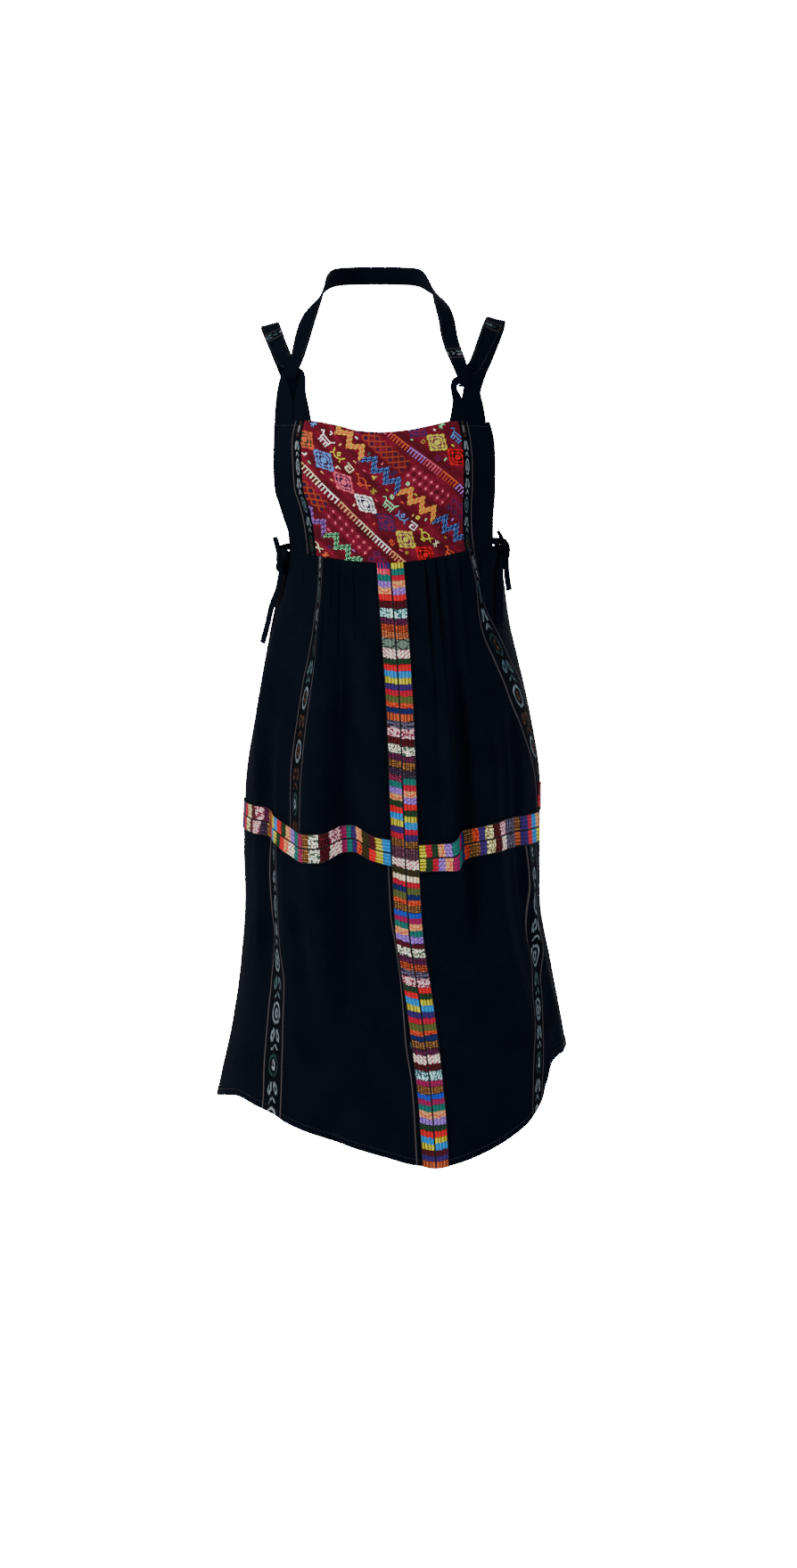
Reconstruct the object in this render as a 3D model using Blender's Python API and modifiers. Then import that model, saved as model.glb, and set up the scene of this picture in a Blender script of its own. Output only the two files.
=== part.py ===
# A handwoven pinafore dress, worn: bib, looped straps and a long gathered skirt
# with a woven band down the front and another round the hips.
# Lengths in the tables are millimetres, in the dress's own frame: X to the
# viewer's right, Y away from the viewer, Z up, and zero where the shoulders hold it.

import math

import bmesh
import bpy
from mathutils import Vector

MM = 0.001

# Driving sizes
SEAM_GAP = 0.3
SKIRT_CLOTH = 1.5
BIB_CLOTH = 1.6
BAND_CLOTH = 1.2
BAND_WIDTH = 32.0
STRAP_CLOTH = 1.4
SIDE_SEAM_HALF_GAP = 0.25
SIDE_SEAM_SHARE = 0.0014
FOLD_RADIUS = 2.1
FOLD_PARTING = 0.8
FOLD_REACH = 28.0
BAR_HEIGHT = 10.0
HIDDEN_SEAM_GAP = 0.8
SIDE_SEAM_EASE = 0.03
HALF_PLEAT = 0.5

FRONT = -1
BACK = 1


class Table:
    """Rows under named columns, read smoothly along the first column."""

    def __init__(self, columns, rows):
        self.columns = columns.split()
        self.rows = sorted(rows)

    def slope(self, index, place):
        rows = self.rows
        low = rows[max(index - 1, 0)]
        here = rows[index]
        high = rows[min(index + 1, len(rows) - 1)]
        if low is here or high is here:
            return (high[place] - low[place]) / (high[0] - low[0])
        before = (here[place] - low[place]) / (here[0] - low[0])
        after = (high[place] - here[place]) / (high[0] - here[0])
        if before * after <= 0:
            return 0.0
        return 2 * before * after / (before + after)

    def at(self, value, column):
        place = self.columns.index(column)
        rows = self.rows
        if value <= rows[0][0]:
            return rows[0][place]
        if value >= rows[-1][0]:
            return rows[-1][place]
        index = 0
        while rows[index + 1][0] < value:
            index += 1
        low, high = rows[index], rows[index + 1]
        span = high[0] - low[0]
        t = (value - low[0]) / span
        start = self.slope(index, place) * span
        end = self.slope(index + 1, place) * span
        return ((2 * t**3 - 3 * t**2 + 1) * low[place] + (t**3 - 2 * t**2 + t) * start
                + (3 * t**2 - 2 * t**3) * high[place] + (t**3 - t**2) * end)


# Level sections of the worn dress: where its left and right sides and its
# front and back lie at each height.
RINGS = Table("height left right front back", [
    (-60, -150, 152, -84, 80),
    (-100, -148, 150, -98, 88),
    (-160, -150, 152, -112, 95),
    (-205, -147, 150, -117, 96),
    (-245, -134, 144, -108, 90),
    (-266, -119.5, 138, -100, 88),
    (-308, -123, 142, -108, 98),
    (-349, -131, 148, -115, 108),
    (-391, -139, 158, -121, 116),
    (-454, -150, 172, -128, 124),
    (-537, -162, 184, -136, 130),
    (-611, -164, 184, -139, 131),
    (-664, -163, 184, -140, 131),
    (-749, -169, 198, -143, 134),
    (-823, -180, 212, -146, 138),
    (-877, -192, 221, -148, 141),
    (-908, -198, 224, -149, 143),
    (-997, -206, 227, -151, 146),
])

# The front band's centre, which drifts to the right on its way down.
BAND_LINE = Table("height across", [
    (-279, 8), (-447, 19), (-587, 24), (-689, 29), (-778, 42), (-890, 55), (-961, 60),
])

# How far the right side seam swings forward round the hips, as a share of the
# front half: the photo shows it there, with the back band's end beside it.
RIGHT_SEAM = Table("height turn", [
    (-280, 0.0), (-410, 0.032), (-545, 0.075), (-690, 0.034), (-820, 0.0),
])

# Heights of the skirt's seams and edges. "along" runs from the left side seam,
# 0, to the right side seam, 1.
WAIST = Table("along height", [
    (0.0, -262), (0.14, -265), (0.28, -271), (0.38, -276), (0.50, -279),
    (0.61, -274), (0.73, -265), (0.86, -259), (1.0, -256),
])
FRONT_BAND_TOP = Table("along height", [
    (0.0, -553), (0.07, -555), (0.15, -558), (0.20, -566), (0.25, -577), (0.29, -583),
    (0.325, -583), (0.36, -574), (0.39, -573), (0.43, -584), (0.46, -588), (0.54, -594),
    (0.62, -593), (0.65, -583), (0.72, -575), (0.80, -569), (1.0, -566),
])
FRONT_BAND_FOOT = Table("along height", [
    (0.0, -585), (0.07, -588), (0.15, -592), (0.20, -598), (0.25, -610), (0.29, -617),
    (0.325, -617), (0.36, -606), (0.39, -605), (0.43, -614), (0.46, -619), (0.54, -626),
    (0.63, -626), (0.66, -618), (0.73, -608), (0.82, -604), (1.0, -602),
])
BACK_BAND_TOP = Table("along height", [
    (0.0, -553), (0.2, -554), (0.35, -560), (0.5, -556), (0.65, -562), (0.8, -545), (1.0, -530),
])
BACK_BAND_FOOT = Table("along height", [
    (0.0, -585), (0.2, -586), (0.35, -592), (0.5, -588), (0.65, -594), (0.8, -577), (1.0, -562),
])
HEM = Table("along height", [
    (0.0, -907), (0.10, -896.5), (0.14, -893.5), (0.19, -900), (0.23, -907), (0.254, -915),
    (0.29, -923), (0.335, -931.5), (0.366, -939.5), (0.41, -949), (0.45, -958), (0.50, -962.5),
    (0.526, -961.5), (0.563, -957), (0.63, -944.5), (0.70, -927.5), (0.73, -919), (0.75, -910),
    (0.768, -901), (0.783, -891.5), (0.793, -882), (0.808, -872.5), (0.82, -863), (0.84, -853.5),
    (0.90, -847.5), (1.0, -845),
])

# Places along the cloth where the front band lies.
BAND_LEFT = 0.46
BAND_MIDDLE = 0.50
BAND_RIGHT = 0.54

# Pleats let in at the waist seam. "step" is the fold's edge, "width" how far
# the pleat reaches back from it and "facing" the side that the edge looks to.
PLEATS = Table("step width rise length facing", [
    (0.130, 0.035, 2.4, 70, -1),
    (0.180, 0.036, 2.8, 90, -1),
    (0.230, 0.040, 3.0, 110, -1),
    (0.310, 0.024, 3.6, 300, -1),
    (0.335, 0.024, 2.8, 110, -1),
    (0.358, 0.026, 3.8, 260, -1),
    (0.402, 0.030, 3.4, 170, -1),
    (0.594, 0.028, 3.6, 240, 1),
    (0.625, 0.026, 3.8, 260, 1),
    (0.655, 0.026, 3.4, 220, 1),
    (0.700, 0.034, 3.2, 180, 1),
    (0.775, 0.040, 3.0, 110, 1),
    (0.845, 0.040, 2.8, 90, 1),
    (0.910, 0.035, 2.4, 70, 1),
])
BACK_PLEAT_COUNT = 12
BACK_PLEAT_REACH = (0.12, 0.88)
PLEAT_STEP_SHARE = 0.3
PLEAT_AT_SEAM = 0.35
PLEAT_SWELL = 28.0

# Large soft folds. "start" and "end" are heights, "top" and "foot" the fold's
# middle at each, and "rise" is out from the body or, below zero, in to it.
FRONT_FOLDS = Table("top foot reach rise start end", [
    (0.315, 0.300, 0.060, 9.0, -380, -860),
    (0.372, 0.370, 0.045, -8.5, -340, -820),
    (0.430, 0.440, 0.050, 4.0, -330, -700),
    (0.110, 0.125, 0.060, 5.0, -320, -560),
    (0.160, 0.175, 0.045, -6.0, -430, -800),
    (0.235, 0.260, 0.050, 5.5, -560, -900),
    (0.250, 0.315, 0.030, -4.0, -620, -840),
    (0.625, 0.640, 0.035, 4.5, -380, -700),
    (0.665, 0.672, 0.040, -7.5, -330, -760),
    (0.745, 0.765, 0.060, 5.0, -400, -880),
    (0.850, 0.870, 0.040, -4.0, -400, -800),
    (0.905, 0.900, 0.045, 2.5, -560, -900),
])
BACK_FOLDS = Table("top foot reach rise start end", [
    (0.120, 0.130, 0.050, 5.0, -340, -880),
    (0.200, 0.205, 0.045, -6.0, -360, -840),
    (0.290, 0.280, 0.050, 8.0, -320, -900),
    (0.370, 0.380, 0.045, -8.0, -340, -820),
    (0.455, 0.450, 0.050, 6.0, -330, -880),
    (0.535, 0.540, 0.045, -7.0, -320, -760),
    (0.610, 0.625, 0.050, 8.0, -350, -900),
    (0.700, 0.695, 0.045, -6.5, -330, -820),
    (0.790, 0.800, 0.050, 6.0, -380, -890),
    (0.880, 0.870, 0.045, -4.5, -400, -800),
])
FOLD_EASE = 110.0

# Rows of points down the skirt, as levels: 0 waist, 1 band top, 2 band foot, 3 hem.
JOIN_LEVEL = 1.5
HEM_LEVEL = 3.0
UPPER_LEVELS = (0.0, 0.035, 0.09, 0.18, 0.32, 0.50, 0.74, 1.0, JOIN_LEVEL)
LOWER_LEVELS = (JOIN_LEVEL, 2.0, 2.14, 2.34, 2.56, 2.80, HEM_LEVEL)
PLAIN_COLUMNS = 30
COLUMN_CLEARANCE = 0.011
NEARBY_ALONG = 0.003
NEARBY_LEVEL = 0.02

# Edges of the bib's three pieces: "outer" edges are its sides, "inner" ones the
# seams on the brocade.
BIB_EDGES = Table("height outer_left inner_left inner_right outer_right", [
    (-116, -123.5, -88, 84, 120.5),
    (-124, -124.5, -90, 86, 123),
    (-142, -125, -93, 89, 127),
    (-168, -125.5, -92, 91, 128),
    (-196, -124, -90, 91, 128),
    (-212, -119, -85, 90, 127),
    (-228, -114, -81, 90, 126),
    (-248, -108.5, -78, 91, 126),
    (-272, -108.5, -76, 95, 125.5),
])
BIB_MIDDLE_HEIGHT = -190.0
EDGE_ROUNDS = 6
BIB_TOP = Table("across height", [
    (-125, -117), (-89, -118), (-49, -125), (-30, -130.5), (-3, -132.5), (28, -130),
    (54, -124.5), (84, -118.5), (122, -118.5),
])
BACK_BIB_TOP = Table("across height", [
    (-112, -136), (-86, -136), (0, -150), (86, -136), (112, -136),
])
BACK_BIB_EDGES = Table("height outer_left outer_right", [
    (-134, -116, 116), (-165, -116, 118), (-205, -113, 117), (-245, -105, 120), (-268, -102, 120),
])

# The loops at the bib's top: a folded band goes up, over as a bar and down.
# Each row gives its outer edge, across and height, and then its inner edge.
LEFT_LOOP = [
    (-124.0, -116.3, -102.3, -117.0),
    (-122.5, -96.0, -102.7, -101.0),
    (-120.5, -81.0, -105.7, -85.0),
    (-117.5, -68.0, -110.0, -71.0),
    (-113.0, -59.5, -108.5, -66.8),
    (-103.0, -57.0, -102.7, -66.0),
    (-92.0, -59.5, -97.0, -66.8),
    (-88.0, -69.0, -95.5, -71.0),
    (-87.5, -85.0, -98.5, -85.0),
    (-85.0, -97.0, -101.2, -101.0),
    (-81.0, -117.6, -101.5, -117.0),
]
RIGHT_LOOP = [
    (117.0, -117.6, 96.0, -117.6),
    (114.0, -100.0, 95.8, -104.0),
    (111.5, -90.0, 96.6, -92.0),
    (109.5, -78.0, 97.6, -82.0),
    (104.5, -69.5, 96.6, -77.6),
    (92.0, -67.0, 91.0, -76.6),
    (80.5, -69.5, 84.8, -77.6),
    (76.5, -77.0, 83.6, -82.0),
    (77.0, -87.0, 88.0, -90.0),
    (78.5, -98.0, 92.7, -103.0),
    (75.0, -118.6, 95.2, -117.6),
]
LOOP_STEPS = 3

# The strap is one length on the real dress: from the back, over a shoulder,
# behind a loop's bar, under it and up to the neck, and the same on the other side.
# Each row gives x, y and z, the way that the strap's face looks in x, y and z, and
# the width. The folds are the turns under the loops' bars.
LEFT_FOLD = {"x": -102.7, "z": -66.6, "way": (-0.50, -0.85, 0.15), "width": 12.2, "slant": -0.38}
RIGHT_FOLD = {"x": 91.0, "z": -77.3, "way": (0.42, -0.89, 0.15), "width": 11.4, "slant": 0.42}
LEFT_SHOULDER_STRAP = [
    (-108.5, -53.5, -52, -0.50, -0.80, 0.32, 17),
    (-115, -47.0, -44, -0.50, -0.75, 0.42, 20),
    (-124, -32.0, -22, -0.42, -0.65, 0.64, 22),
    (-130, -13.0, -6.5, -0.30, -0.40, 0.87, 22),
    (-132, 4.0, -3, -0.25, 0.05, 0.97, 22),
    (-130, 24.0, -10, -0.25, 0.50, 0.83, 22),
    (-121, 44.0, -32, -0.25, 0.80, 0.55, 22),
    (-107.5, 57.0, -68, -0.30, 0.93, 0.20, 22),
    (-101, 63.5, -104, -0.38, 0.92, 0.05, 22),
    (-100, 66.4, -134.6, -0.38, 0.92, 0.05, 22),
]
RIGHT_SHOULDER_STRAP = [
    (98.5, -59.5, -61, 0.46, -0.82, 0.32, 15),
    (106, -52.0, -52, 0.50, -0.76, 0.40, 17),
    (118, -34.5, -25, 0.45, -0.66, 0.60, 21),
    (127, -13.0, -2.5, 0.30, -0.40, 0.87, 22),
    (131, 3.0, 3.5, 0.25, 0.05, 0.97, 22),
    (130, 23.0, -5, 0.25, 0.50, 0.83, 22),
    (121, 44.0, -29, 0.25, 0.80, 0.55, 22),
    (106, 57.0, -67, 0.30, 0.93, 0.20, 22),
    (101, 63.5, -104, 0.38, 0.92, 0.05, 22),
    (100, 66.4, -134.6, 0.38, 0.92, 0.05, 22),
]
NECK_STRAP = [
    (-101.5, -67.6, -58, -0.47, -0.86, 0.20, 16),
    (-97, -64.5, -45, -0.45, -0.85, 0.30, 18),
    (-90.7, -53.5, -19, -0.48, -0.78, 0.38, 22),
    (-86.3, -43.5, -3, -0.50, -0.78, 0.35, 22),
    (-80.3, -31.0, 13, -0.66, -0.68, 0.30, 22),
    (-71.5, -12.0, 31, -0.90, -0.35, 0.25, 21),
    (-66.5, 14.0, 46, -0.98, 0.10, 0.20, 21),
    (-56, 45.0, 56, -0.72, 0.68, 0.15, 21),
    (-34, 64.0, 60, -0.35, 0.93, 0.10, 21),
    (-8, 70.0, 61, 0.00, 1.00, 0.10, 21),
    (18, 64.0, 60, 0.35, 0.93, 0.10, 21),
    (40, 45.0, 56, 0.72, 0.68, 0.15, 21),
    (50.5, 14.0, 46, 0.98, 0.10, 0.20, 21),
    (61.5, -13.0, 31, 0.78, -0.55, 0.25, 22),
    (68.5, -31.0, 13, 0.52, -0.80, 0.30, 22),
    (72.7, -43.5, -3, 0.46, -0.82, 0.35, 22),
    (75, -52.0, -19, 0.46, -0.80, 0.38, 22),
    (79, -59.0, -34, 0.45, -0.82, 0.33, 22),
    (85, -67.0, -50, 0.42, -0.86, 0.28, 20),
    (89.5, -74.0, -66, 0.40, -0.89, 0.20, 15),
]
STRAP_STEPS = 3
FOLD_STEPS = 6

# The side ties: lengths of folded cloth that leave a knot at the waist. "leaves" is the
# way out of the knot, "clear" the distance from it, "face" and "width" the cloth's way
# and width there, and the rows that follow are like the straps'. "bib" names the bib
# edge that a tie is sewn to, the height, the tie's width there and its gap.
TIE_CLOTH = 1.6
TIE_STEPS = 3
TIES = {
    "tie_left_front": {
        "knot": "tie_left_knot", "leaves": (0.42, -0.15, 0.90), "face": (-0.45, -0.88, 0.15),
        "clear": 1.8, "width": 5, "bib": (FRONT, "left", -260.0, 4.4, 1.4),
        "rows": [(-112.6, -44.2, -266.8, -0.62, -0.78, 0.05, 5)],
    },
    "tie_left_back": {
        "knot": "tie_left_knot", "leaves": (-0.35, 0.85, 0.38), "face": (-0.90, -0.43, 0.00),
        "clear": 0.8, "width": 6, "bib": (BACK, "left", -257.8, 8, 0.4),
        "rows": [
            (-123.2, -24.0, -273.0, -0.98, -0.20, 0.00, 7.5),
            (-123.4, -6.0, -266.5, -1.00, -0.03, 0.00, 8),
            (-121.8, 10.0, -262.0, -0.98, 0.20, 0.00, 8),
            (-115.5, 29.0, -259.0, -0.90, 0.42, 0.00, 8),
        ],
    },
    "tie_left_short_end": {
        "knot": "tie_left_knot", "leaves": (-0.22, -0.10, 0.97), "face": (-0.20, -0.97, 0.00),
        "clear": 0.4, "width": 5, "bib": None,
        "rows": [
            (-121.0, -43.0, -262.0, -0.20, -0.97, 0.00, 6.5),
            (-124.6, -42.5, -248.5, -0.20, -0.97, 0.00, 6.5),
        ],
    },
    "tie_left_long_end": {
        "knot": "tie_left_knot", "leaves": (-0.10, 0.15, -0.98), "face": (-0.60, -0.80, 0.00),
        "clear": 0.3, "width": 7, "bib": None,
        "rows": [
            (-121.5, -37.0, -309.0, -0.62, -0.78, 0.00, 8.5),
            (-129.5, -30.0, -329.0, -0.68, -0.73, 0.00, 9),
            (-134.0, -25.5, -348.0, -0.70, -0.71, 0.00, 9),
            (-140.5, -21.0, -371.0, -0.70, -0.71, 0.00, 9),
        ],
    },
    "tie_right_front": {
        "knot": "tie_right_knot", "leaves": (-0.85, -0.50, 0.28), "face": (0.60, -0.80, 0.00),
        "clear": 1.9, "width": 6, "bib": (FRONT, "right", -252.8, 7.5, 1.1),
        "rows": [(130.6, -43.6, -256.6, 0.70, -0.71, 0.00, 7)],
    },
    "tie_right_back": {
        "knot": "tie_right_knot", "leaves": (0.42, 0.82, 0.38), "face": (0.92, -0.40, 0.00),
        "clear": 0.7, "width": 7, "bib": (BACK, "right", -251.5, 8, 0.7),
        "rows": [
            (143.8, -16.0, -257.6, 0.99, -0.15, 0.00, 8),
            (142.2, 3.0, -254.0, 1.00, 0.05, 0.00, 8),
            (135.5, 26.0, -252.0, 0.90, 0.42, 0.00, 8),
        ],
    },
    "tie_right_short_end": {
        "knot": "tie_right_knot", "leaves": (0.22, 0.10, -0.97), "face": (0.50, -0.87, 0.00),
        "clear": 1.3, "width": 6, "bib": None,
        "rows": [
            (142.6, -31.0, -290.0, 0.50, -0.87, 0.00, 7.5),
            (145.6, -29.0, -310.0, 0.50, -0.87, 0.00, 8),
        ],
    },
    "tie_right_spike": {
        "knot": "tie_right_knot", "leaves": (-0.20, -0.35, 0.90), "face": (0.30, -0.95, 0.00),
        "clear": 0.4, "width": 5, "bib": None,
        "rows": [
            (135.2, -37.0, -247.5, 0.30, -0.95, 0.00, 5),
            (131.8, -38.0, -241.5, 0.30, -0.95, 0.00, 4),
        ],
    },
    "tie_right_long_end": {
        "knot": "tie_right_knot", "leaves": (-0.30, -0.40, -0.86), "face": (0.50, -0.87, 0.00),
        "clear": 1.3, "width": 7, "bib": None,
        "rows": [
            (134.4, -44.0, -290.0, 0.50, -0.87, 0.00, 9),
            (133.2, -53.5, -315.0, 0.50, -0.87, 0.00, 9.5),
            (133.2, -62.5, -348.0, 0.50, -0.87, 0.00, 9.5),
        ],
    },
}
KNOTS = {
    "tie_left_knot": {"middle": (-117.4, -42.5, -282.0), "size": (6.2, 5.6, 10.0)},
    "tie_right_knot": {"middle": (140.0, -32.0, -264.0), "size": (6.2, 5.6, 10.5)},
}
KNOT_WRAPS = 2
KNOT_WRAP_RISE = 0.10

COLOURS = {
    "navy": (0.012, 0.016, 0.034),
    "brocade": (0.55, 0.05, 0.10),
    "band": (0.60, 0.20, 0.30),
}


def surface(name, colour, roughness):
    material = bpy.data.materials.new(name)
    material.use_nodes = True
    shader = material.node_tree.nodes["Principled BSDF"]
    shader.inputs["Base Color"].default_value = (*COLOURS[colour], 1.0)
    shader.inputs["Roughness"].default_value = roughness
    shader.inputs["Metallic"].default_value = 0.0
    return material


def add_object(name, bm, colour, roughness=0.9):
    """Turns a bmesh in millimetres into one named object in metres."""
    bmesh.ops.scale(bm, vec=(MM, MM, MM), verts=bm.verts)
    mesh = bpy.data.meshes.new(name)
    bm.to_mesh(mesh)
    bm.free()
    mesh.materials.append(surface(name + "_cloth", colour, roughness))
    item = bpy.data.objects.new(name, mesh)
    bpy.data.collections["handwoven_dress"].objects.link(item)
    return item


def ease(value):
    value = min(max(value, 0.0), 1.0)
    return value * value * (3 - 2 * value)


def ring_point(share, height, side):
    """A point of the level section, and its way out; share 0 is the left side, 1 the right."""
    left = RINGS.at(height, "left")
    right = RINGS.at(height, "right")
    depth = RINGS.at(height, "front") if side == FRONT else RINGS.at(height, "back")
    middle = (left + right) / 2
    half = (right - left) / 2
    angle = math.pi * share
    point = Vector((middle - half * math.cos(angle), depth * math.sin(angle), height))
    outward = Vector((-math.cos(angle) / half, math.sin(angle) / depth, 0.0))
    return point, outward.normalized()


def share_across(across, height):
    """The share of the level section that lies at a distance across."""
    left = RINGS.at(height, "left")
    right = RINGS.at(height, "right")
    cosine = ((left + right) / 2 - across) / ((right - left) / 2)
    return math.acos(min(max(cosine, -1.0), 1.0)) / math.pi


def cloth_share(along, height, side):
    """Where a place along the skirt's cloth lies round the level section."""
    turn = RIGHT_SEAM.at(height, "turn")
    if side == BACK:
        return along * (1 + turn - SIDE_SEAM_SHARE)
    middle = share_across(BAND_LINE.at(height, "across"), height)
    half = (RINGS.at(height, "right") - RINGS.at(height, "left")) / 2
    reach = BAND_WIDTH / 2 / (math.pi * half)
    if along <= BAND_LEFT:
        return along / BAND_LEFT * (middle - reach)
    if along >= BAND_RIGHT:
        end = 1 - turn - SIDE_SEAM_SHARE
        return end - (1 - along) / (1 - BAND_RIGHT) * (end - middle - reach)
    return middle + reach * (along - BAND_MIDDLE) / (BAND_RIGHT - BAND_MIDDLE)


def level_height(along, level, side):
    band_top = FRONT_BAND_TOP if side == FRONT else BACK_BAND_TOP
    band_foot = FRONT_BAND_FOOT if side == FRONT else BACK_BAND_FOOT
    lines = (WAIST, band_top, band_foot, HEM)
    index = min(int(level), len(lines) - 2)
    above = lines[index].at(along, "height")
    below = lines[index + 1].at(along, "height")
    return above + (below - above) * (level - index)


def pleat_rows(side):
    if side == FRONT:
        return PLEATS.rows
    first, last = BACK_PLEAT_REACH
    spacing = (last - first) / (BACK_PLEAT_COUNT - 1)
    rows = []
    for index in range(BACK_PLEAT_COUNT):
        facing = -1 if index < BACK_PLEAT_COUNT / 2 else 1
        length = 130 + 60 * ((index * 3) % 4)
        rows.append((first + index * spacing, 0.030, 3.4, length, facing))
    return rows


def pleat_rise(along, height, waist, side):
    drop = waist - height
    rise = 0.0
    for step, width, top_rise, length, facing in pleat_rows(side):
        back = (along - step) * -facing
        ramp = width * PLEAT_STEP_SHARE
        if back <= -ramp or back >= width:
            continue
        shape = 1 + back / ramp if back < 0 else (1 - back / width) ** 1.5
        swell = PLEAT_AT_SEAM + (1 - PLEAT_AT_SEAM) * ease(drop / PLEAT_SWELL)
        rise += top_rise * shape * swell * (1 - ease(drop / length))
    return rise


def fold_rise(along, height, side):
    folds = FRONT_FOLDS if side == FRONT else BACK_FOLDS
    rise = 0.0
    for top, foot, reach, depth, start, end in folds.rows:
        down = (start - height) / (start - end)
        middle = top + (foot - top) * min(max(down, 0.0), 1.0)
        distance = abs(along - middle) / reach
        if distance >= 1:
            continue
        grows = ease((start - height) / FOLD_EASE)
        fades = ease((height - end) / FOLD_EASE)
        rise += depth * (0.5 + 0.5 * math.cos(math.pi * distance)) * grows * fades
    return rise


def skirt_point(along, level, side, shift=0.0):
    """A point of the skirt's outer face; shift moves it up the cloth."""
    height = level_height(along, level, side) + shift
    waist = WAIST.at(along, "height")
    point, outward = ring_point(cloth_share(along, height, side), height, side)
    rise = pleat_rise(along, height, waist, side) + fold_rise(along, height, side)
    point += outward * rise * ease(min(along, 1 - along) / SIDE_SEAM_EASE)
    if side == FRONT:
        point.y = min(point.y, -SIDE_SEAM_HALF_GAP)
    elif along < 0.5:
        point.y = max(point.y, SIDE_SEAM_HALF_GAP)
    return point


def skirt_outward(along, level, side):
    """The way out of the folded cloth, from its neighbours."""
    left = skirt_point(max(along - NEARBY_ALONG, 0.0), level, side)
    right = skirt_point(min(along + NEARBY_ALONG, 1.0), level, side)
    up = skirt_point(along, max(level - NEARBY_LEVEL, 0.0), side)
    down = skirt_point(along, min(level + NEARBY_LEVEL, HEM_LEVEL), side)
    outward = (right - left).cross(up - down)
    return (outward if side == FRONT else -outward).normalized()


def skirt_columns(side):
    """Places along the cloth for columns of points: at each pleat's step, and even between."""
    fixed = [BAND_LEFT, BAND_MIDDLE, BAND_RIGHT] if side == FRONT else []
    for step, width, _rise, _length, facing in pleat_rows(side):
        fixed += [step + facing * width * PLEAT_STEP_SHARE, step, step - facing * width * HALF_PLEAT]
    chosen = []
    for place in sorted(fixed):
        if not chosen or place - chosen[-1] > COLUMN_CLEARANCE / 2:
            chosen.append(place)
    for index in range(PLAIN_COLUMNS + 1):
        place = index / PLAIN_COLUMNS
        if all(abs(place - other) > COLUMN_CLEARANCE for other in chosen):
            chosen.append(place)
    chosen += [place for place in (0.0, 1.0) if place not in chosen]
    return sorted(chosen)


def cloth_sheet(rows, faces_front):
    """A bmesh of one open sheet through rows of points, with the same diagonals everywhere."""
    bm = bmesh.new()
    grid = [[bm.verts.new(point) for point in row] for row in rows]
    for upper, lower in zip(grid, grid[1:]):
        for index in range(len(upper) - 1):
            corners = [lower[index], lower[index + 1], upper[index + 1], upper[index]]
            faces = (corners[0], corners[1], corners[2]), (corners[0], corners[2], corners[3])
            for face in faces:
                bm.faces.new(face if faces_front else tuple(reversed(face)))
    return bm


def add_cloth(name, rows, side, colour, thickness, offset=-1.0):
    """One piece of cloth: its outer face through the rows, its thickness behind or before it."""
    item = add_object(name, cloth_sheet(rows, side == FRONT), colour)
    wall = item.modifiers.new("thickness", "SOLIDIFY")
    wall.thickness = thickness * MM
    wall.offset = offset
    return item


def skirt_rows(levels, columns, side):
    """Rows of the skirt's outer face, each end row drawn back by half a seam gap."""
    rows = []
    for index, level in enumerate(levels):
        shift = 0.0
        if level == JOIN_LEVEL:
            shift = HIDDEN_SEAM_GAP / 2 if index else -HIDDEN_SEAM_GAP / 2
        rows.append([skirt_point(place, level, side, shift) for place in columns])
    return rows


def build_skirt():
    for side, word in ((FRONT, "front"), (BACK, "back")):
        columns = skirt_columns(side)
        for levels, part in ((UPPER_LEVELS, "upper"), (LOWER_LEVELS, "lower")):
            rows = skirt_rows(levels, columns, side)
            add_cloth(f"skirt_{part}_{word}", rows, side, "navy", SKIRT_CLOTH)


def band_rows(levels, places, side):
    """Rows that lie on the skirt's outer face, moved out by the seam gap."""
    return [[skirt_point(place, level, side) + skirt_outward(place, level, side) * SEAM_GAP
             for place in places] for level in levels]


def build_bands():
    columns = skirt_columns(FRONT)
    clear = SEAM_GAP / BAND_WIDTH * (BAND_RIGHT - BAND_LEFT)
    left = [place for place in columns if place < BAND_LEFT] + [BAND_LEFT - clear]
    right = [BAND_RIGHT + clear] + [place for place in columns if place > BAND_RIGHT]
    hip_levels = (1.0, JOIN_LEVEL, 2.0)
    for name, places, side in (("hip_band_front_left", left, FRONT),
                               ("hip_band_front_right", right, FRONT),
                               ("hip_band_back", skirt_columns(BACK), BACK)):
        rows = band_rows(hip_levels, places, side)
        add_cloth(name, rows, side, "band", BAND_CLOTH, offset=1.0)
    middle = (BAND_LEFT, BAND_MIDDLE, BAND_RIGHT)
    rows = band_rows(UPPER_LEVELS + LOWER_LEVELS[1:], middle, FRONT)
    add_cloth("centre_band", rows, FRONT, "band", BAND_CLOTH, offset=1.0)


def bib_rows(edges, left, right, top, side, across_count, down_count, inset=(0.0, 0.0)):
    """Rows of a bib piece between two named edges, from its top edge to the waist seam."""
    rows = []
    for down in range(down_count + 1):
        row = []
        for step in range(across_count + 1):
            height = BIB_MIDDLE_HEIGHT
            for _ in range(EDGE_ROUNDS):
                start = edges.at(height, left) + inset[0]
                end = edges.at(height, right) - inset[1]
                across = start + (end - start) * step / across_count
                share = share_across(across, height)
                foot = WAIST.at(share, "height") + SEAM_GAP
                head = top.at(across, "height")
                height = head + (foot - head) * down / down_count
            row.append(ring_point(share, height, side)[0])
        rows.append(row)
    return rows


def build_bibs():
    half = SEAM_GAP / 2
    pieces = (
        ("bib_brocade", "inner_left", "inner_right", 12, "brocade", (half, half)),
        ("bib_side_left", "outer_left", "inner_left", 3, "navy", (0.0, half)),
        ("bib_side_right", "inner_right", "outer_right", 3, "navy", (half, 0.0)),
    )
    for name, left, right, count, colour, inset in pieces:
        rows = bib_rows(BIB_EDGES, left, right, BIB_TOP, FRONT, count, 8, inset)
        add_cloth(name, rows, FRONT, colour, BIB_CLOTH)
    rows = bib_rows(BACK_BIB_EDGES, "outer_left", "outer_right", BACK_BIB_TOP, BACK, 14, 8)
    add_cloth("bib_back", rows, BACK, "navy", BIB_CLOTH)


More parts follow.
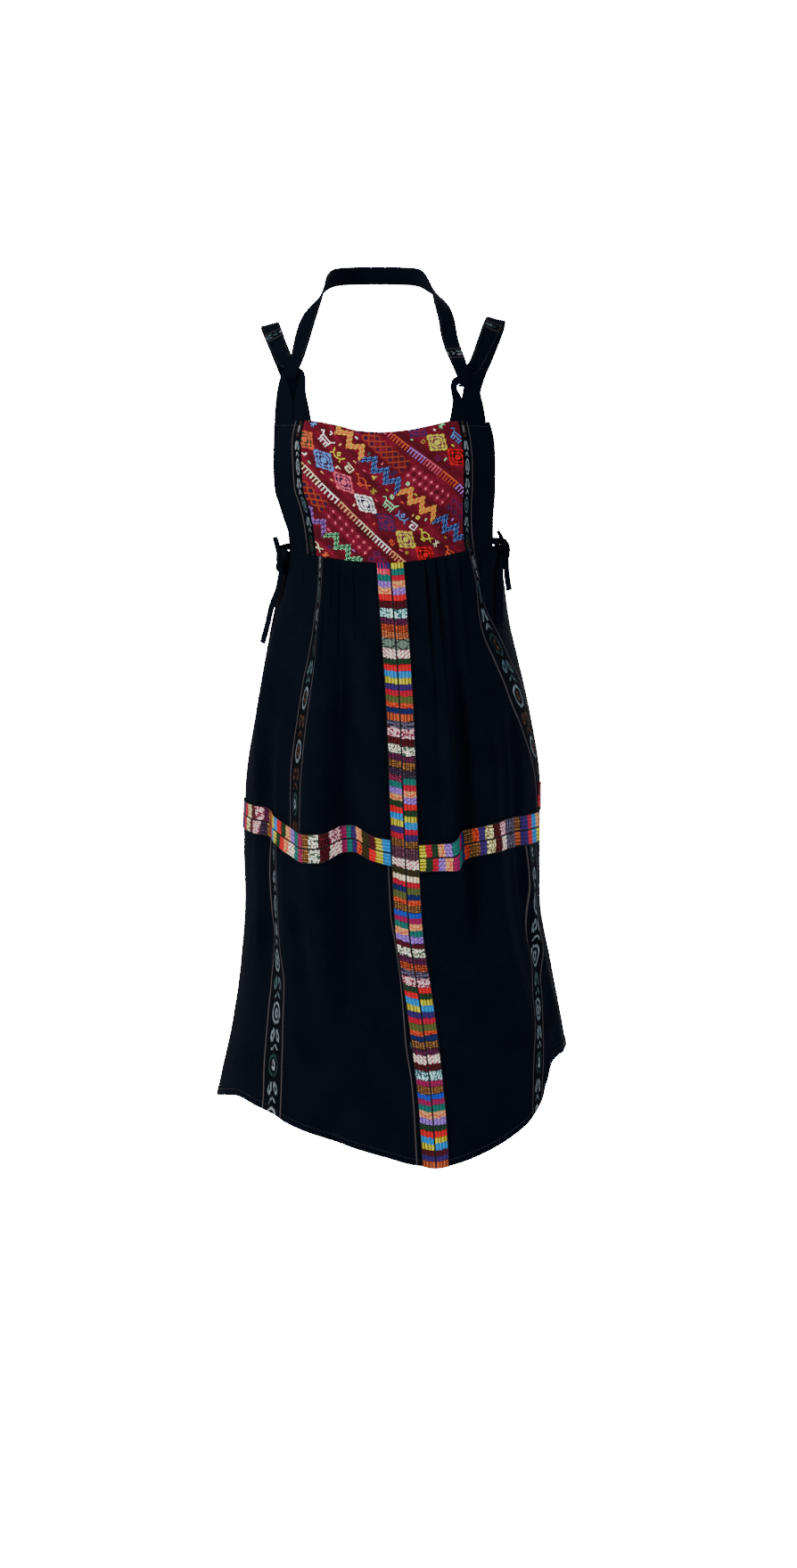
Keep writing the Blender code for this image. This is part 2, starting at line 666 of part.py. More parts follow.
def smooth_rows(rows, steps):
    """Points on one smooth curve through the rows, with every column carried along."""
    result = []
    for index in range(len(rows) - 1):
        before = rows[max(index - 1, 0)]
        start, end = rows[index], rows[index + 1]
        after = rows[min(index + 2, len(rows) - 1)]
        for step in range(steps):
            t = step / steps
            result.append(tuple(
                0.5 * (2 * b + (c - a) * t + (2 * a - 5 * b + 4 * c - d) * t**2
                       + (3 * b - a - 3 * c + d) * t**3)
                for a, b, c, d in zip(before, start, end, after)))
    result.append(tuple(rows[-1]))
    return result


def add_strip(name, sections, thickness, colour):
    """A closed strip through sections of (edge, other edge, way the face looks)."""
    bm = bmesh.new()
    rings = []
    for edge, other, way in sections:
        out = way.normalized() * thickness / 2
        rings.append([bm.verts.new(point) for point in (edge + out, other + out, other - out, edge - out)])
    for near, far in zip(rings, rings[1:]):
        # The two wide faces share one diagonal, so a twisted strip keeps its thickness.
        for a, b, turned in ((0, 1, False), (1, 2, False), (2, 3, True), (3, 0, False)):
            if turned:
                bm.faces.new((near[a], near[b], far[a]))
                bm.faces.new((near[b], far[b], far[a]))
            else:
                bm.faces.new((near[a], near[b], far[b]))
                bm.faces.new((near[a], far[b], far[a]))
    bm.faces.new(reversed(rings[0]))
    bm.faces.new(rings[-1])
    bmesh.ops.recalc_face_normals(bm, faces=bm.faces)
    return add_object(name, bm, colour)


def chest_depth(across, height):
    return ring_point(share_across(across, height), height, FRONT)[0].y


def fold_middle(fold):
    return Vector((fold["x"], chest_depth(fold["x"], fold["z"]), fold["z"]))


def fold_way(fold):
    """The level way that the chest faces at a loop's bar."""
    return Vector((fold["way"][0], fold["way"][1], 0.0)).normalized()


def ribbon_sections(rows, folds=()):
    """Sections of a ribbon from rows of place, facing and width; near a fold they
    keep to the line of the loop's bar."""
    sections = []
    for index, row in enumerate(rows):
        middle = Vector(row[0:3])
        way = Vector(row[3:6]).normalized()
        ahead = Vector(rows[min(index + 1, len(rows) - 1)][0:3])
        behind = Vector(rows[max(index - 1, 0)][0:3])
        along = (ahead - behind).normalized()
        side = along.cross(way).normalized()
        for fold in folds:
            bar = fold_way(fold).cross(Vector((0, 0, 1)))
            if bar.dot(side) < 0:
                bar = -bar
            near = 1 - ease((middle - fold_middle(fold)).length / FOLD_REACH)
            side = side.lerp(bar, near).normalized()
        way = side.cross(along).normalized()
        sections.append((middle - side * row[6] / 2, middle + side * row[6] / 2, way))
    return sections


def fold_rows(fold):
    """The strap's turn under a loop's bar, from behind the bar to before it."""
    rows = []
    for step in range(FOLD_STEPS + 1):
        angle = math.pi * step / FOLD_STEPS
        outward = -fold_way(fold) * math.cos(angle) - Vector((0, 0, 1)) * math.sin(angle)
        place = fold_middle(fold) + outward * FOLD_RADIUS
        rows.append((*place, *outward, fold["width"]))
    return rows


def shoulder_rows(fold, rows):
    """The strap from just above the turn, behind the bar, over the shoulder to the back."""
    behind = []
    for rise in (FOLD_PARTING, BAR_HEIGHT / 2, BAR_HEIGHT):
        across = fold["x"] + fold["slant"] * rise
        height = fold["z"] + rise
        place = Vector((across, chest_depth(across, height), height)) - fold_way(fold) * FOLD_RADIUS
        behind.append((*place, *fold["way"], fold["width"]))
    return smooth_rows(behind + rows, STRAP_STEPS)


def build_straps():
    for name, fold, rows in (("shoulder_strap_left", LEFT_FOLD, LEFT_SHOULDER_STRAP),
                             ("shoulder_strap_right", RIGHT_FOLD, RIGHT_SHOULDER_STRAP)):
        sections = ribbon_sections(shoulder_rows(fold, rows), (fold,))
        add_strip(name, sections, STRAP_CLOTH, "navy")
    left_turn = fold_rows(LEFT_FOLD)
    right_turn = list(reversed(fold_rows(RIGHT_FOLD)))
    run = smooth_rows([left_turn[-1]] + NECK_STRAP + [right_turn[0]], STRAP_STEPS)
    rows = left_turn + run[1:-1] + right_turn
    add_strip("neck_strap", ribbon_sections(rows, (LEFT_FOLD, RIGHT_FOLD)), STRAP_CLOTH, "navy")


def build_loops():
    for name, rows in (("bib_loop_left", LEFT_LOOP), ("bib_loop_right", RIGHT_LOOP)):
        sections = []
        for outer_x, outer_z, inner_x, inner_z in smooth_rows(rows, LOOP_STEPS):
            outer = Vector((outer_x, chest_depth(outer_x, outer_z), outer_z))
            inner = Vector((inner_x, chest_depth(inner_x, inner_z), inner_z))
            middle_x, middle_z = (outer_x + inner_x) / 2, (outer_z + inner_z) / 2
            way = ring_point(share_across(middle_x, middle_z), middle_z, FRONT)[1]
            sections.append((outer, inner, way))
        add_strip(name, sections, STRAP_CLOTH, "navy")


def knot_row(tie):
    """The row at which a tie leaves its knot, clear of the knot's surface."""
    knot = KNOTS[tie["knot"]]
    way = Vector(tie["leaves"]).normalized()
    reach = 1 / Vector([part / size for part, size in zip(way, knot["size"])]).length
    return (*(Vector(knot["middle"]) + way * (reach + tie["clear"])), *tie["face"], tie["width"])


def sewn_section(tie, neighbour):
    """The section at which a tie is sewn along the side edge of the bib."""
    side, word, height, width, gap = tie["bib"]
    edges = BIB_EDGES if side == FRONT else BACK_BIB_EDGES
    turn = 1 if (side == FRONT) == (word == "left") else -1
    corners = []
    for level in (height - width / 2, height + width / 2):
        across = edges.at(level, "outer_" + word)
        point, outward = ring_point(share_across(across, level), level, side)
        corners.append(point)
    away = Vector((outward.y, -outward.x, 0.0)) * turn
    out = (corners[1] - corners[0]).cross(away).normalized()
    if out.dot(outward) < 0:
        out = -out
    shift = away * gap - out * BIB_CLOTH / 2
    if (corners[1] - corners[0]).dot(neighbour[1] - neighbour[0]) < 0:
        corners.reverse()
    edge, other = corners[0] + shift, corners[1] + shift
    way = (other - edge).cross(edge + other - neighbour[0] - neighbour[1]).normalized()
    return edge, other, way if way.dot(neighbour[2]) > 0 else -way


def build_ties():
    for name, tie in TIES.items():
        sections = ribbon_sections(smooth_rows([knot_row(tie)] + tie["rows"], TIE_STEPS))
        if tie["bib"]:
            sections.append(sewn_section(tie, sections[-1]))
        add_strip(name, sections, TIE_CLOTH, "navy")
    for name, knot in KNOTS.items():
        bm = bmesh.new()
        bmesh.ops.create_uvsphere(bm, u_segments=14, v_segments=10, radius=1.0)
        for vert in bm.verts:
            turn = math.atan2(vert.co.y, vert.co.x)
            wrap = math.cos(KNOT_WRAPS * math.pi * vert.co.z + turn)
            vert.co *= 1 + KNOT_WRAP_RISE * (wrap - 1) / 2
        bmesh.ops.scale(bm, vec=knot["size"], verts=bm.verts)
        bmesh.ops.translate(bm, vec=knot["middle"], verts=bm.verts)
        add_object(name, bm, "navy")


def main():
    for item in list(bpy.data.objects):
        bpy.data.objects.remove(item, do_unlink=True)
    dress = bpy.data.collections.new("handwoven_dress")
    bpy.context.scene.collection.children.link(dress)
    build_skirt()
    build_bands()
    build_bibs()
    build_loops()
    build_straps()
    build_ties()


main()
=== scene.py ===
import math
import random

import bmesh
import bpy
import numpy as np
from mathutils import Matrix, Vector, noise


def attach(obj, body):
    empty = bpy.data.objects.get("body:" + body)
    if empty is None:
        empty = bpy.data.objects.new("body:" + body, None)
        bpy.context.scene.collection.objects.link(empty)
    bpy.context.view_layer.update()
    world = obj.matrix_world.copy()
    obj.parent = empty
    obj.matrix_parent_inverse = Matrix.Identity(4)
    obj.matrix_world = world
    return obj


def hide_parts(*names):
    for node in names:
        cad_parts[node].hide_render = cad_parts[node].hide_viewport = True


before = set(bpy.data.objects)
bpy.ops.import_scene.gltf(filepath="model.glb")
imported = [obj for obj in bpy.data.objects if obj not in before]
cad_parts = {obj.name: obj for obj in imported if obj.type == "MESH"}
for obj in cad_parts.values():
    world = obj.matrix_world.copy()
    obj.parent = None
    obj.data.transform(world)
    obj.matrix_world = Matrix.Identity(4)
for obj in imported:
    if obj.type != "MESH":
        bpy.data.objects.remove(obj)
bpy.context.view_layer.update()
print("frame loaded")

# A handwoven pinafore dress, worn. Lengths in the tables are millimetres: X to the
# viewer's right, Y away from the viewer, Z up, zero where the shoulders hold it.
mm = 0.001
front, back = -1, 1


def linearColour(hexText):
    parts = [int(hexText[i:i + 2], 16) / 255 for i in (0, 2, 4)]
    return (*(p / 12.92 if p <= 0.04045 else ((p + 0.055) / 1.055) ** 2.4 for p in parts), 1.0)


def threadTone(hexText):
    # the reflectance that gives a thread this colour in the studio's strong light
    parts = np.array(linearColour(hexText)[:3])
    pure = 1 - parts.min() / max(parts.max(), 0.001)
    return np.minimum(parts * (0.5 + 2.9 * np.maximum(parts - 0.25, 0) ** 1.6), 0.92 - 0.46 * pure)


def addNode(tree, kind, inputs=None, **settings):
    # a node with its settings; an input is a value, a socket or a node's first output
    node = tree.nodes.new(kind)
    for name, value in settings.items():
        setattr(node, name, value)
    for key, value in (inputs or {}).items():
        if isinstance(value, bpy.types.Node):
            value = value.outputs[0]
        if isinstance(value, bpy.types.NodeSocket):
            tree.links.new(value, node.inputs[key])
        else:
            node.inputs[key].default_value = value
    return node


def placeObject(name, data):
    item = bpy.data.objects.new(name, data)
    bpy.context.scene.collection.objects.link(item)
    return item


def newFinish(name):
    finish = bpy.data.materials.new(name)
    finish.use_nodes = True
    return finish, finish.node_tree, finish.node_tree.nodes["Principled BSDF"]


# camera, light and floor

camera = {"place": (0.0175, -3.0408, -0.2976), "tilt": 85.5, "lens": 59.6, "sensor": 36.0}
lights = {  # place, aim, size across, watts, colour
    "key": ((-2.2, -1.6, 1.1), (0, 0, -0.45), 0.8, 138, "fff9f2"),
    "fill": ((2.2, -2.0, 0.2), (0, 0, -0.5), 1.2, 48, "f4f7ff"),
    "rear": ((0.8, 2.3, 0.9), (0, 0, -0.45), 1.4, 70, "ffffff"),
}
studio = {"floorHeight": -1.45, "floorReach": 12.0, "paper": "f8f8f8", "room": 0.75, "glow": 24.0}


def addStudio():
    scene = bpy.context.scene
    data = bpy.data.cameras.new("photo_camera")
    data.lens = camera["lens"]
    data.sensor_width = camera["sensor"]
    view = placeObject("photo_camera", data)
    view.location = camera["place"]
    view.rotation_euler = (math.radians(camera["tilt"]), 0, 0)
    scene.camera = view
    for name, (place, aim, size, watts, tone) in lights.items():
        data = bpy.data.lights.new(name, "AREA")
        data.shape = "DISK"
        data.size = size
        data.energy = watts
        data.color = linearColour(tone)[:3]
        lamp = placeObject(name, data)
        lamp.location = place
        lamp.rotation_euler = (Vector(aim) - Vector(place)).to_track_quat("-Z", "Y").to_euler()
    # a bright paper room: the eye sees it burnt out to white, the cloth gets its soft light
    world = bpy.data.worlds.new("paper_room")
    world.use_nodes = True
    tree = world.node_tree
    tree.nodes.clear()
    ray = addNode(tree, "ShaderNodeLightPath")
    soft = addNode(tree, "ShaderNodeBackground", {"Strength": studio["room"]})
    glow = addNode(tree, "ShaderNodeBackground", {"Strength": studio["glow"]})
    both = addNode(tree, "ShaderNodeMixShader", {0: ray.outputs["Is Camera Ray"], 1: soft, 2: glow})
    addNode(tree, "ShaderNodeOutputWorld", {"Surface": both})
    scene.world = world
    # matt white paper on the floor, as bright to the eye as the room, with no gloss
    paper, tree, _shader = newFinish("matt_paper")
    tree.nodes.clear()
    ray = addNode(tree, "ShaderNodeLightPath")
    where = addNode(tree, "ShaderNodeTexCoord")
    fibre = addNode(tree, "ShaderNodeTexNoise", {"Vector": where.outputs["Object"], "Scale": 400.0})
    dent = addNode(tree, "ShaderNodeBump", {"Height": fibre, "Strength": 0.1, "Distance": 0.0002})
    matt = addNode(tree, "ShaderNodeBsdfDiffuse", {"Color": linearColour(studio["paper"]), "Normal": dent})
    glow = addNode(tree, "ShaderNodeEmission", {"Strength": studio["glow"]})
    both = addNode(tree, "ShaderNodeMixShader", {0: ray.outputs["Is Camera Ray"], 1: matt, 2: glow})
    addNode(tree, "ShaderNodeOutputMaterial", {"Surface": both})
    turns = 96
    ring = [(studio["floorReach"] * math.cos(2 * math.pi * i / turns),
             studio["floorReach"] * math.sin(2 * math.pi * i / turns), studio["floorHeight"])
            for i in range(turns)]
    mesh = bpy.data.meshes.new("paper_floor")
    mesh.from_pydata(ring, [], [tuple(range(turns))])
    mesh.materials.append(paper)
    placeObject("paper_floor", mesh)


addStudio()
print("studio ready")


# the worn shape

class SizeTable:
    # rows under named columns, read smoothly along the first column

    def __init__(self, columns, rows):
        self.columns = columns.split()
        self.rows = sorted(rows)

    def slope(self, index, place):
        rows = self.rows
        low, here, high = rows[max(index - 1, 0)], rows[index], rows[min(index + 1, len(rows) - 1)]
        if low is here or high is here:
            return (high[place] - low[place]) / (high[0] - low[0])
        before = (here[place] - low[place]) / (here[0] - low[0])
        after = (high[place] - here[place]) / (high[0] - here[0])
        return 0.0 if before * after <= 0 else 2 * before * after / (before + after)

    def at(self, value, column):
        place = self.columns.index(column)
        rows = self.rows
        if value <= rows[0][0]:
            return rows[0][place]
        if value >= rows[-1][0]:
            return rows[-1][place]
        index = 0
        while rows[index + 1][0] < value:
            index += 1
        low, high = rows[index], rows[index + 1]
        span = high[0] - low[0]
        t = (value - low[0]) / span
        start, end = self.slope(index, place) * span, self.slope(index + 1, place) * span
        return ((2 * t**3 - 3 * t**2 + 1) * low[place] + (t**3 - 2 * t**2 + t) * start
                + (3 * t**2 - 2 * t**3) * high[place] + (t**3 - t**2) * end)


# level sections: where the left and right sides and the front and back lie at each height
rings = SizeTable("height left right front back", [
    (-60, -150, 152, -84, 80), (-100, -148, 150, -98, 88), (-160, -150, 152, -112, 95),
    (-205, -147, 150, -117, 96), (-245, -134, 144, -108, 90), (-266, -119.5, 138, -100, 88),
    (-308, -123, 142, -108, 98), (-349, -131, 148, -115, 108), (-391, -139, 158, -121, 116),
    (-454, -150, 172, -128, 124), (-537, -162, 184, -136, 130), (-611, -164, 184, -139, 131),
    (-664, -163, 184, -140, 131), (-749, -169, 198, -143, 134), (-823, -180, 212, -146, 138),
    (-877, -192, 221, -148, 141), (-908, -198, 224, -149, 143), (-997, -206, 227, -151, 146),
])
bandLine = SizeTable("height across", [  # the front band's middle
    (-279, 8), (-447, 19), (-587, 24), (-689, 29), (-778, 42), (-890, 55), (-961, 60),
])
# how far the right side seam swings forward, as a share of the front half
rightSeam = SizeTable("height turn", [
    (-280, 0.0), (-410, 0.032), (-545, 0.075), (-690, 0.034), (-820, 0.0),
])
# seams and edges of the skirt; along runs from the left side seam, 0, to the right one, 1
waistLine = SizeTable("along height", [
    (0.0, -262), (0.14, -265), (0.28, -271), (0.38, -276), (0.50, -279),
    (0.61, -274), (0.73, -265), (0.86, -259), (1.0, -256),
])
frontBandTop = SizeTable("along height", [
    (0.0, -553), (0.07, -555), (0.15, -558), (0.20, -566), (0.25, -577), (0.29, -583),
    (0.325, -583), (0.36, -574), (0.39, -573), (0.43, -584), (0.46, -588), (0.54, -594),
    (0.62, -593), (0.65, -583), (0.72, -575), (0.80, -569), (1.0, -566),
])
frontBandFoot = SizeTable("along height", [
    (0.0, -585), (0.07, -588), (0.15, -592), (0.20, -598), (0.25, -610), (0.29, -617),
    (0.325, -617), (0.36, -606), (0.39, -605), (0.43, -614), (0.46, -619), (0.54, -626),
    (0.63, -626), (0.66, -618), (0.73, -608), (0.82, -604), (1.0, -602),
])
backBandTop = SizeTable("along height", [
    (0.0, -553), (0.2, -554), (0.35, -560), (0.5, -556), (0.65, -562), (0.8, -545), (1.0, -530),
])
hemLine = SizeTable("along height", [
    (0.0, -907), (0.10, -896.5), (0.14, -893.5), (0.19, -900), (0.23, -907), (0.254, -915),
    (0.29, -923), (0.335, -931.5), (0.366, -939.5), (0.41, -949), (0.45, -958), (0.50, -962.5),
    (0.526, -961.5), (0.563, -957), (0.63, -944.5), (0.70, -927.5), (0.73, -919), (0.75, -910),
    (0.768, -901), (0.783, -891.5), (0.793, -882), (0.808, -872.5), (0.82, -863), (0.84, -853.5),
    (0.90, -847.5), (1.0, -845),
])
bandLeft, bandMiddle, bandRight = 0.46, 0.50, 0.54  # where the front band lies along the cloth
# pleats: the fold's edge, the reach back from it, rise, length and the side its edge faces
pleats = SizeTable("step width rise length facing", [
    (0.130, 0.035, 2.4, 70, -1), (0.180, 0.036, 2.8, 90, -1), (0.230, 0.040, 3.0, 110, -1),
    (0.310, 0.024, 3.6, 300, -1), (0.335, 0.024, 2.8, 110, -1), (0.358, 0.026, 3.8, 260, -1),
    (0.402, 0.030, 3.4, 170, -1), (0.594, 0.028, 3.6, 240, 1), (0.625, 0.026, 3.8, 260, 1),
    (0.655, 0.026, 3.4, 220, 1), (0.700, 0.034, 3.2, 180, 1), (0.775, 0.040, 3.0, 110, 1),
    (0.845, 0.040, 2.8, 90, 1), (0.910, 0.035, 2.4, 70, 1),
])
backPleats = {"count": 12, "first": 0.12, "last": 0.88, "width": 0.030, "rise": 3.4}
# large soft folds: the middle at their start and end heights, reach to a side and rise
frontFolds = SizeTable("top foot reach rise start end", [
    (0.315, 0.300, 0.060, 9.0, -380, -860), (0.372, 0.370, 0.045, -8.5, -340, -820),
    (0.430, 0.440, 0.050, 4.0, -330, -700), (0.110, 0.125, 0.060, 5.0, -320, -560),
    (0.160, 0.175, 0.045, -6.0, -430, -800), (0.235, 0.260, 0.050, 5.5, -560, -900),
    (0.250, 0.315, 0.030, -4.0, -620, -840), (0.625, 0.640, 0.035, 4.5, -380, -700),
    (0.665, 0.672, 0.040, -7.5, -330, -760), (0.745, 0.765, 0.060, 5.0, -400, -880),
    (0.850, 0.870, 0.040, -4.0, -400, -800), (0.905, 0.900, 0.045, 2.5, -560, -900),
])
backFolds = SizeTable("top foot reach rise start end", [
    (0.120, 0.130, 0.050, 5.0, -340, -880), (0.200, 0.205, 0.045, -6.0, -360, -840),
    (0.290, 0.280, 0.050, 8.0, -320, -900), (0.370, 0.380, 0.045, -8.0, -340, -820),
    (0.455, 0.450, 0.050, 6.0, -330, -880), (0.535, 0.540, 0.045, -7.0, -320, -760),
    (0.610, 0.625, 0.050, 8.0, -350, -900), (0.700, 0.695, 0.045, -6.5, -330, -820),
    (0.790, 0.800, 0.050, 6.0, -380, -890), (0.880, 0.870, 0.045, -4.5, -400, -800),
])
cloth = {
    "seamGap": 0.3, "skirtWall": 1.5, "bibWall": 1.6, "bandWall": 1.2, "strapWall": 1.4,
    "bandWidth": 32.0, "sideGap": 0.25, "sideShare": 0.0008, "seamEase": 0.03, "joinGap": 0.8,
    "pleatStep": 0.16, "creaseDepth": 0.30, "pleatAtSeam": 0.35, "pleatSwell": 28.0, "foldEase": 110.0,
    "longWave": 1.1, "smallWave": 0.28, "foldScale": 1.5,  # the cloth's own unevenness
    "leastColumn": 0.0009, "alongStep": 0.003, "levelStep": 0.02,
}
backBandFoot = SizeTable("along height", [(along, height - cloth["bandWidth"])
                                          for along, height in backBandTop.rows])


def ease(value):
    value = min(max(value, 0.0), 1.0)
    return value * value * (3 - 2 * value)


def ringPoint(share, height, side):
    # a point of the level section and its way out
    left, right = rings.at(height, "left"), rings.at(height, "right")
    depth = rings.at(height, "front") if side == front else rings.at(height, "back")
    half = (right - left) / 2
    angle = math.pi * share
    point = Vector(((left + right) / 2 - half * math.cos(angle), depth * math.sin(angle), height))
    return point, Vector((-math.cos(angle) / half, math.sin(angle) / depth, 0.0)).normalized()


def shareAcross(across, height):
    left, right = rings.at(height, "left"), rings.at(height, "right")
    cosine = ((left + right) / 2 - across) / ((right - left) / 2)
    return math.acos(min(max(cosine, -1.0), 1.0)) / math.pi


def clothShare(along, height, side):
    # where a place along the skirt's cloth lies round the level section
    turn = rightSeam.at(height, "turn")
    if side == back:
        return along * (1 + turn - cloth["sideShare"])
    middle = shareAcross(bandLine.at(height, "across"), height)
    half = (rings.at(height, "right") - rings.at(height, "left")) / 2
    reach = cloth["bandWidth"] / 2 / (math.pi * half)
    if along <= bandLeft:
        return along / bandLeft * (middle - reach)
    if along >= bandRight:
        end = 1 - turn - cloth["sideShare"]
        return end - (1 - along) / (1 - bandRight) * (end - middle - reach)
    return middle + reach * (along - bandMiddle) / (bandRight - bandMiddle)


def levelHeight(along, level, side):
    top, foot = (frontBandTop, frontBandFoot) if side == front else (backBandTop, backBandFoot)
    lines = (waistLine, top, foot, hemLine)
    index = min(int(level), 2)
    above, below = lines[index].at(along, "height"), lines[index + 1].at(along, "height")
    return above + (below - above) * (level - index)


def pleatRows(side):
    if side == front:
        return pleats.rows
    count = backPleats["count"]
    spacing = (backPleats["last"] - backPleats["first"]) / (count - 1)
    return [(backPleats["first"] + i * spacing, backPleats["width"], backPleats["rise"],
             130 + 60 * ((i * 3) % 4), -1 if i < count / 2 else 1) for i in range(count)]


pleatLists = {front: pleatRows(front), back: pleatRows(back)}


def pleatRise(along, height, waist, side):
    drop, rise = waist - height, 0.0
    for step, width, topRise, length, facing in pleatLists[side]:
        behind = (along - step) * -facing
        ramp = width * cloth["pleatStep"]
        if behind <= -2 * ramp or behind >= width or drop >= length:
            continue
        shape = max(1 + behind / ramp, 0.0) if behind < 0 else (1 - behind / width) ** 1.5
        # the crease under the fold's edge
        shape -= cloth["creaseDepth"] * max(0.0, 1 - abs(behind + ramp) / (ramp * 1.1))
        swell = cloth["pleatAtSeam"] + (1 - cloth["pleatAtSeam"]) * ease(drop / cloth["pleatSwell"])
        rise += topRise * shape * swell * (1 - ease(drop / length))
    return rise


def foldRise(along, height, side):
    rise = 0.0
    for top, foot, reach, depth, start, end in (frontFolds if side == front else backFolds).rows:
        depth *= cloth["foldScale"]
        down = (start - height) / (start - end)
        middle = top + (foot - top) * min(max(down, 0.0), 1.0)
        distance = abs(along - middle) / reach
        if distance < 1:
            grows = ease((start - height) / cloth["foldEase"])
            fades = ease((height - end) / cloth["foldEase"])
            rise += depth * (0.5 + 0.5 * math.cos(math.pi * distance)) * grows * fades
    return rise


def handWave(point):
    # the small unevenness of worn handwoven cloth
    longer = noise.noise(Vector((point.x * 0.022, point.y * 0.022, point.z * 0.008)))
    smaller = noise.noise(Vector((point.x * 0.07 + 9, point.y * 0.07, point.z * 0.05)))
    return cloth["longWave"] * longer + cloth["smallWave"] * smaller


def skirtColumns(side, count):
    # even columns, with more of them at the edge of every pleat
    columns = [i / count for i in range(count + 1)]
    for step, width, _rise, _length, facing in pleatLists[side]:
        ramp = width * cloth["pleatStep"]
        columns += [step + facing * ramp * part for part in (-0.3, 0, 0.5, 1.0, 1.5, 2.0)]
    columns.sort()
    kept = [columns[0]]
    for column in columns[1:-1]:
        if min(column - kept[-1], 1 - column) > cloth["leastColumn"]:
            kept.append(column)
    return kept + [1.0]


def skirtPoint(along, level, side, shift=0.0, lift=0.0):
    # a point of the skirt's outer face; shift moves it up the cloth, lift out from it
    height = levelHeight(along, level, side) + shift
    point, outward = ringPoint(clothShare(along, height, side), height, side)
    rise = pleatRise(along, height, waistLine.at(along, "height"), side) + foldRise(along, height, side)
    rise += handWave(point)
    point += outward * (rise * ease(min(along, 1 - along) / cloth["seamEase"]) + lift)
    if side == front:
        point.y = min(point.y, -cloth["sideGap"])
    elif along < 0.5:
        point.y = max(point.y, cloth["sideGap"])
    return point


def skirtOutward(along, level, side):
    # at right angles to the cloth between its near neighbours
    step, rise = cloth["alongStep"], cloth["levelStep"]
    left, right = [skirtPoint(near, level, side) for near in (max(along - step, 0), min(along + step, 1))]
    up, down = [skirtPoint(along, near, side) for near in (max(level - rise, 0), min(level + rise, 3))]
    outward = (right - left).cross(up - down)
    return (outward if side == front else -outward).normalized()


# cloth pieces

def refine(rows, across, down):
    # more rows and columns of points, evenly between the given ones
    grid = np.array([[tuple(point) for point in row] for row in rows])
    for axis, count in ((0, down), (1, across)):
        places = np.linspace(0, grid.shape[axis] - 1, count + 1)
        low = np.minimum(places.astype(int), grid.shape[axis] - 2)
        part = (places - low).reshape((-1, 1, 1) if axis == 0 else (1, -1, 1))
        grid = np.take(grid, low, axis) * (1 - part) + np.take(grid, low + 1, axis) * part
    return grid


def settle(item, node=None, sharp=50):
    # turns the finished object into a plain mesh and hands it to the frame
    graph = bpy.context.evaluated_depsgraph_get()
    mesh = bpy.data.meshes.new_from_object(item.evaluated_get(graph), preserve_all_data_layers=True,
                                           depsgraph=graph)
    item.modifiers.clear()
    if item.type == "CURVE":
        old, name = item, item.name
        item = placeObject(name + "_run", mesh)
        bpy.data.objects.remove(old)
        item.name = name
    else:
        item.data = mesh
    mesh.name = item.name
    mesh.shade_smooth()
    mesh.set_sharp_from_angle(angle=math.radians(sharp))
    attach(item, "root")
    if node:
        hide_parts(node)
    return item


def clothPiece(name, grid, facesFront, wall, offset, finish, weave, ikat=None, cells=None):
    # one piece of cloth from a grid of points in mm; weave and ikat are grids of cloth
    # coordinates in mm, cells holds one thread colour for each face
    down, across = grid.shape[0], grid.shape[1]
    index = np.arange(down * across).reshape(down, across)
    quads = np.stack([index[1:, :-1], index[1:, 1:], index[:-1, 1:], index[:-1, :-1]], -1).reshape(-1, 4)
    if not facesFront:
        quads = quads[:, ::-1]
    mesh = bpy.data.meshes.new(name)
    mesh.from_pydata((grid.reshape(-1, 3) * mm).tolist(), [], quads.tolist())
    for layerName, values in (("weave", weave), ("ikat", ikat)):
        layer = mesh.uv_layers.new(name=layerName)
        if values is None:
            values = np.full((down, across, 2), noStripe[0])
        layer.data.foreach_set("uv", (values.reshape(-1, 2)[quads.reshape(-1)] * mm).ravel())
    if cells is not None:
        layer = mesh.color_attributes.new("threads", "FLOAT_COLOR", "CORNER")
        colours = np.ones((len(quads), 4, 4))
        colours[:, :, :3] = cells.reshape(-1, 1, 3)
        layer.data.foreach_set("color", colours.ravel())
    item = placeObject(name, mesh)
    mesh.materials.append(finish)
    thickness = item.modifiers.new("wall", "SOLIDIFY")
    thickness.thickness = wall * mm
    thickness.offset = offset
    return item


def clothLengths(grid):
    # cloth coordinates in mm of a grid: across from its middle column and down from its top
    right = np.linalg.norm(np.diff(grid, axis=1), axis=2)
    right = np.concatenate([np.zeros((grid.shape[0], 1)), np.cumsum(right, 1)], 1)
    right -= right[:, grid.shape[1] // 2][:, None]
    drop = np.linalg.norm(np.diff(grid, axis=0), axis=2)
    drop = np.concatenate([np.zeros((1, grid.shape[1])), np.cumsum(drop, 0)], 0)
    return np.stack([right, -drop], -1)


# finishes

def joinFinish(tree, shader, colour, bump, values):
    # colour and relief into the shader, and its fixed values
    tree.links.new(colour, shader.inputs["Base Color"])
    tree.links.new(bump.outputs[0], shader.inputs["Normal"])
    for name, value in values.items():
        shader.inputs[name].default_value = value


def clothPlaces(tree, layerName):
    # a cloth's own coordinates in mm, as one vector and as across and down
    layer = addNode(tree, "ShaderNodeUVMap", uv_map=layerName)
    inMm = addNode(tree, "ShaderNodeVectorMath", {0: layer, 1: (1 / mm,) * 3}, operation="MULTIPLY")
    return inMm, addNode(tree, "ShaderNodeSeparateXYZ", {0: inMm}).outputs


def threadWaves(tree, places, spacings):
    # the rise and fall of the threads across and along a cloth, spacings in mm
    waves = []
    for place, spacing in zip(places, spacings):
        turn = addNode(tree, "ShaderNodeMath", {0: place, 1: 2 * math.pi / spacing}, operation="MULTIPLY")
        waves.append(addNode(tree, "ShaderNodeMath", {0: turn}, operation="SINE"))
    return waves


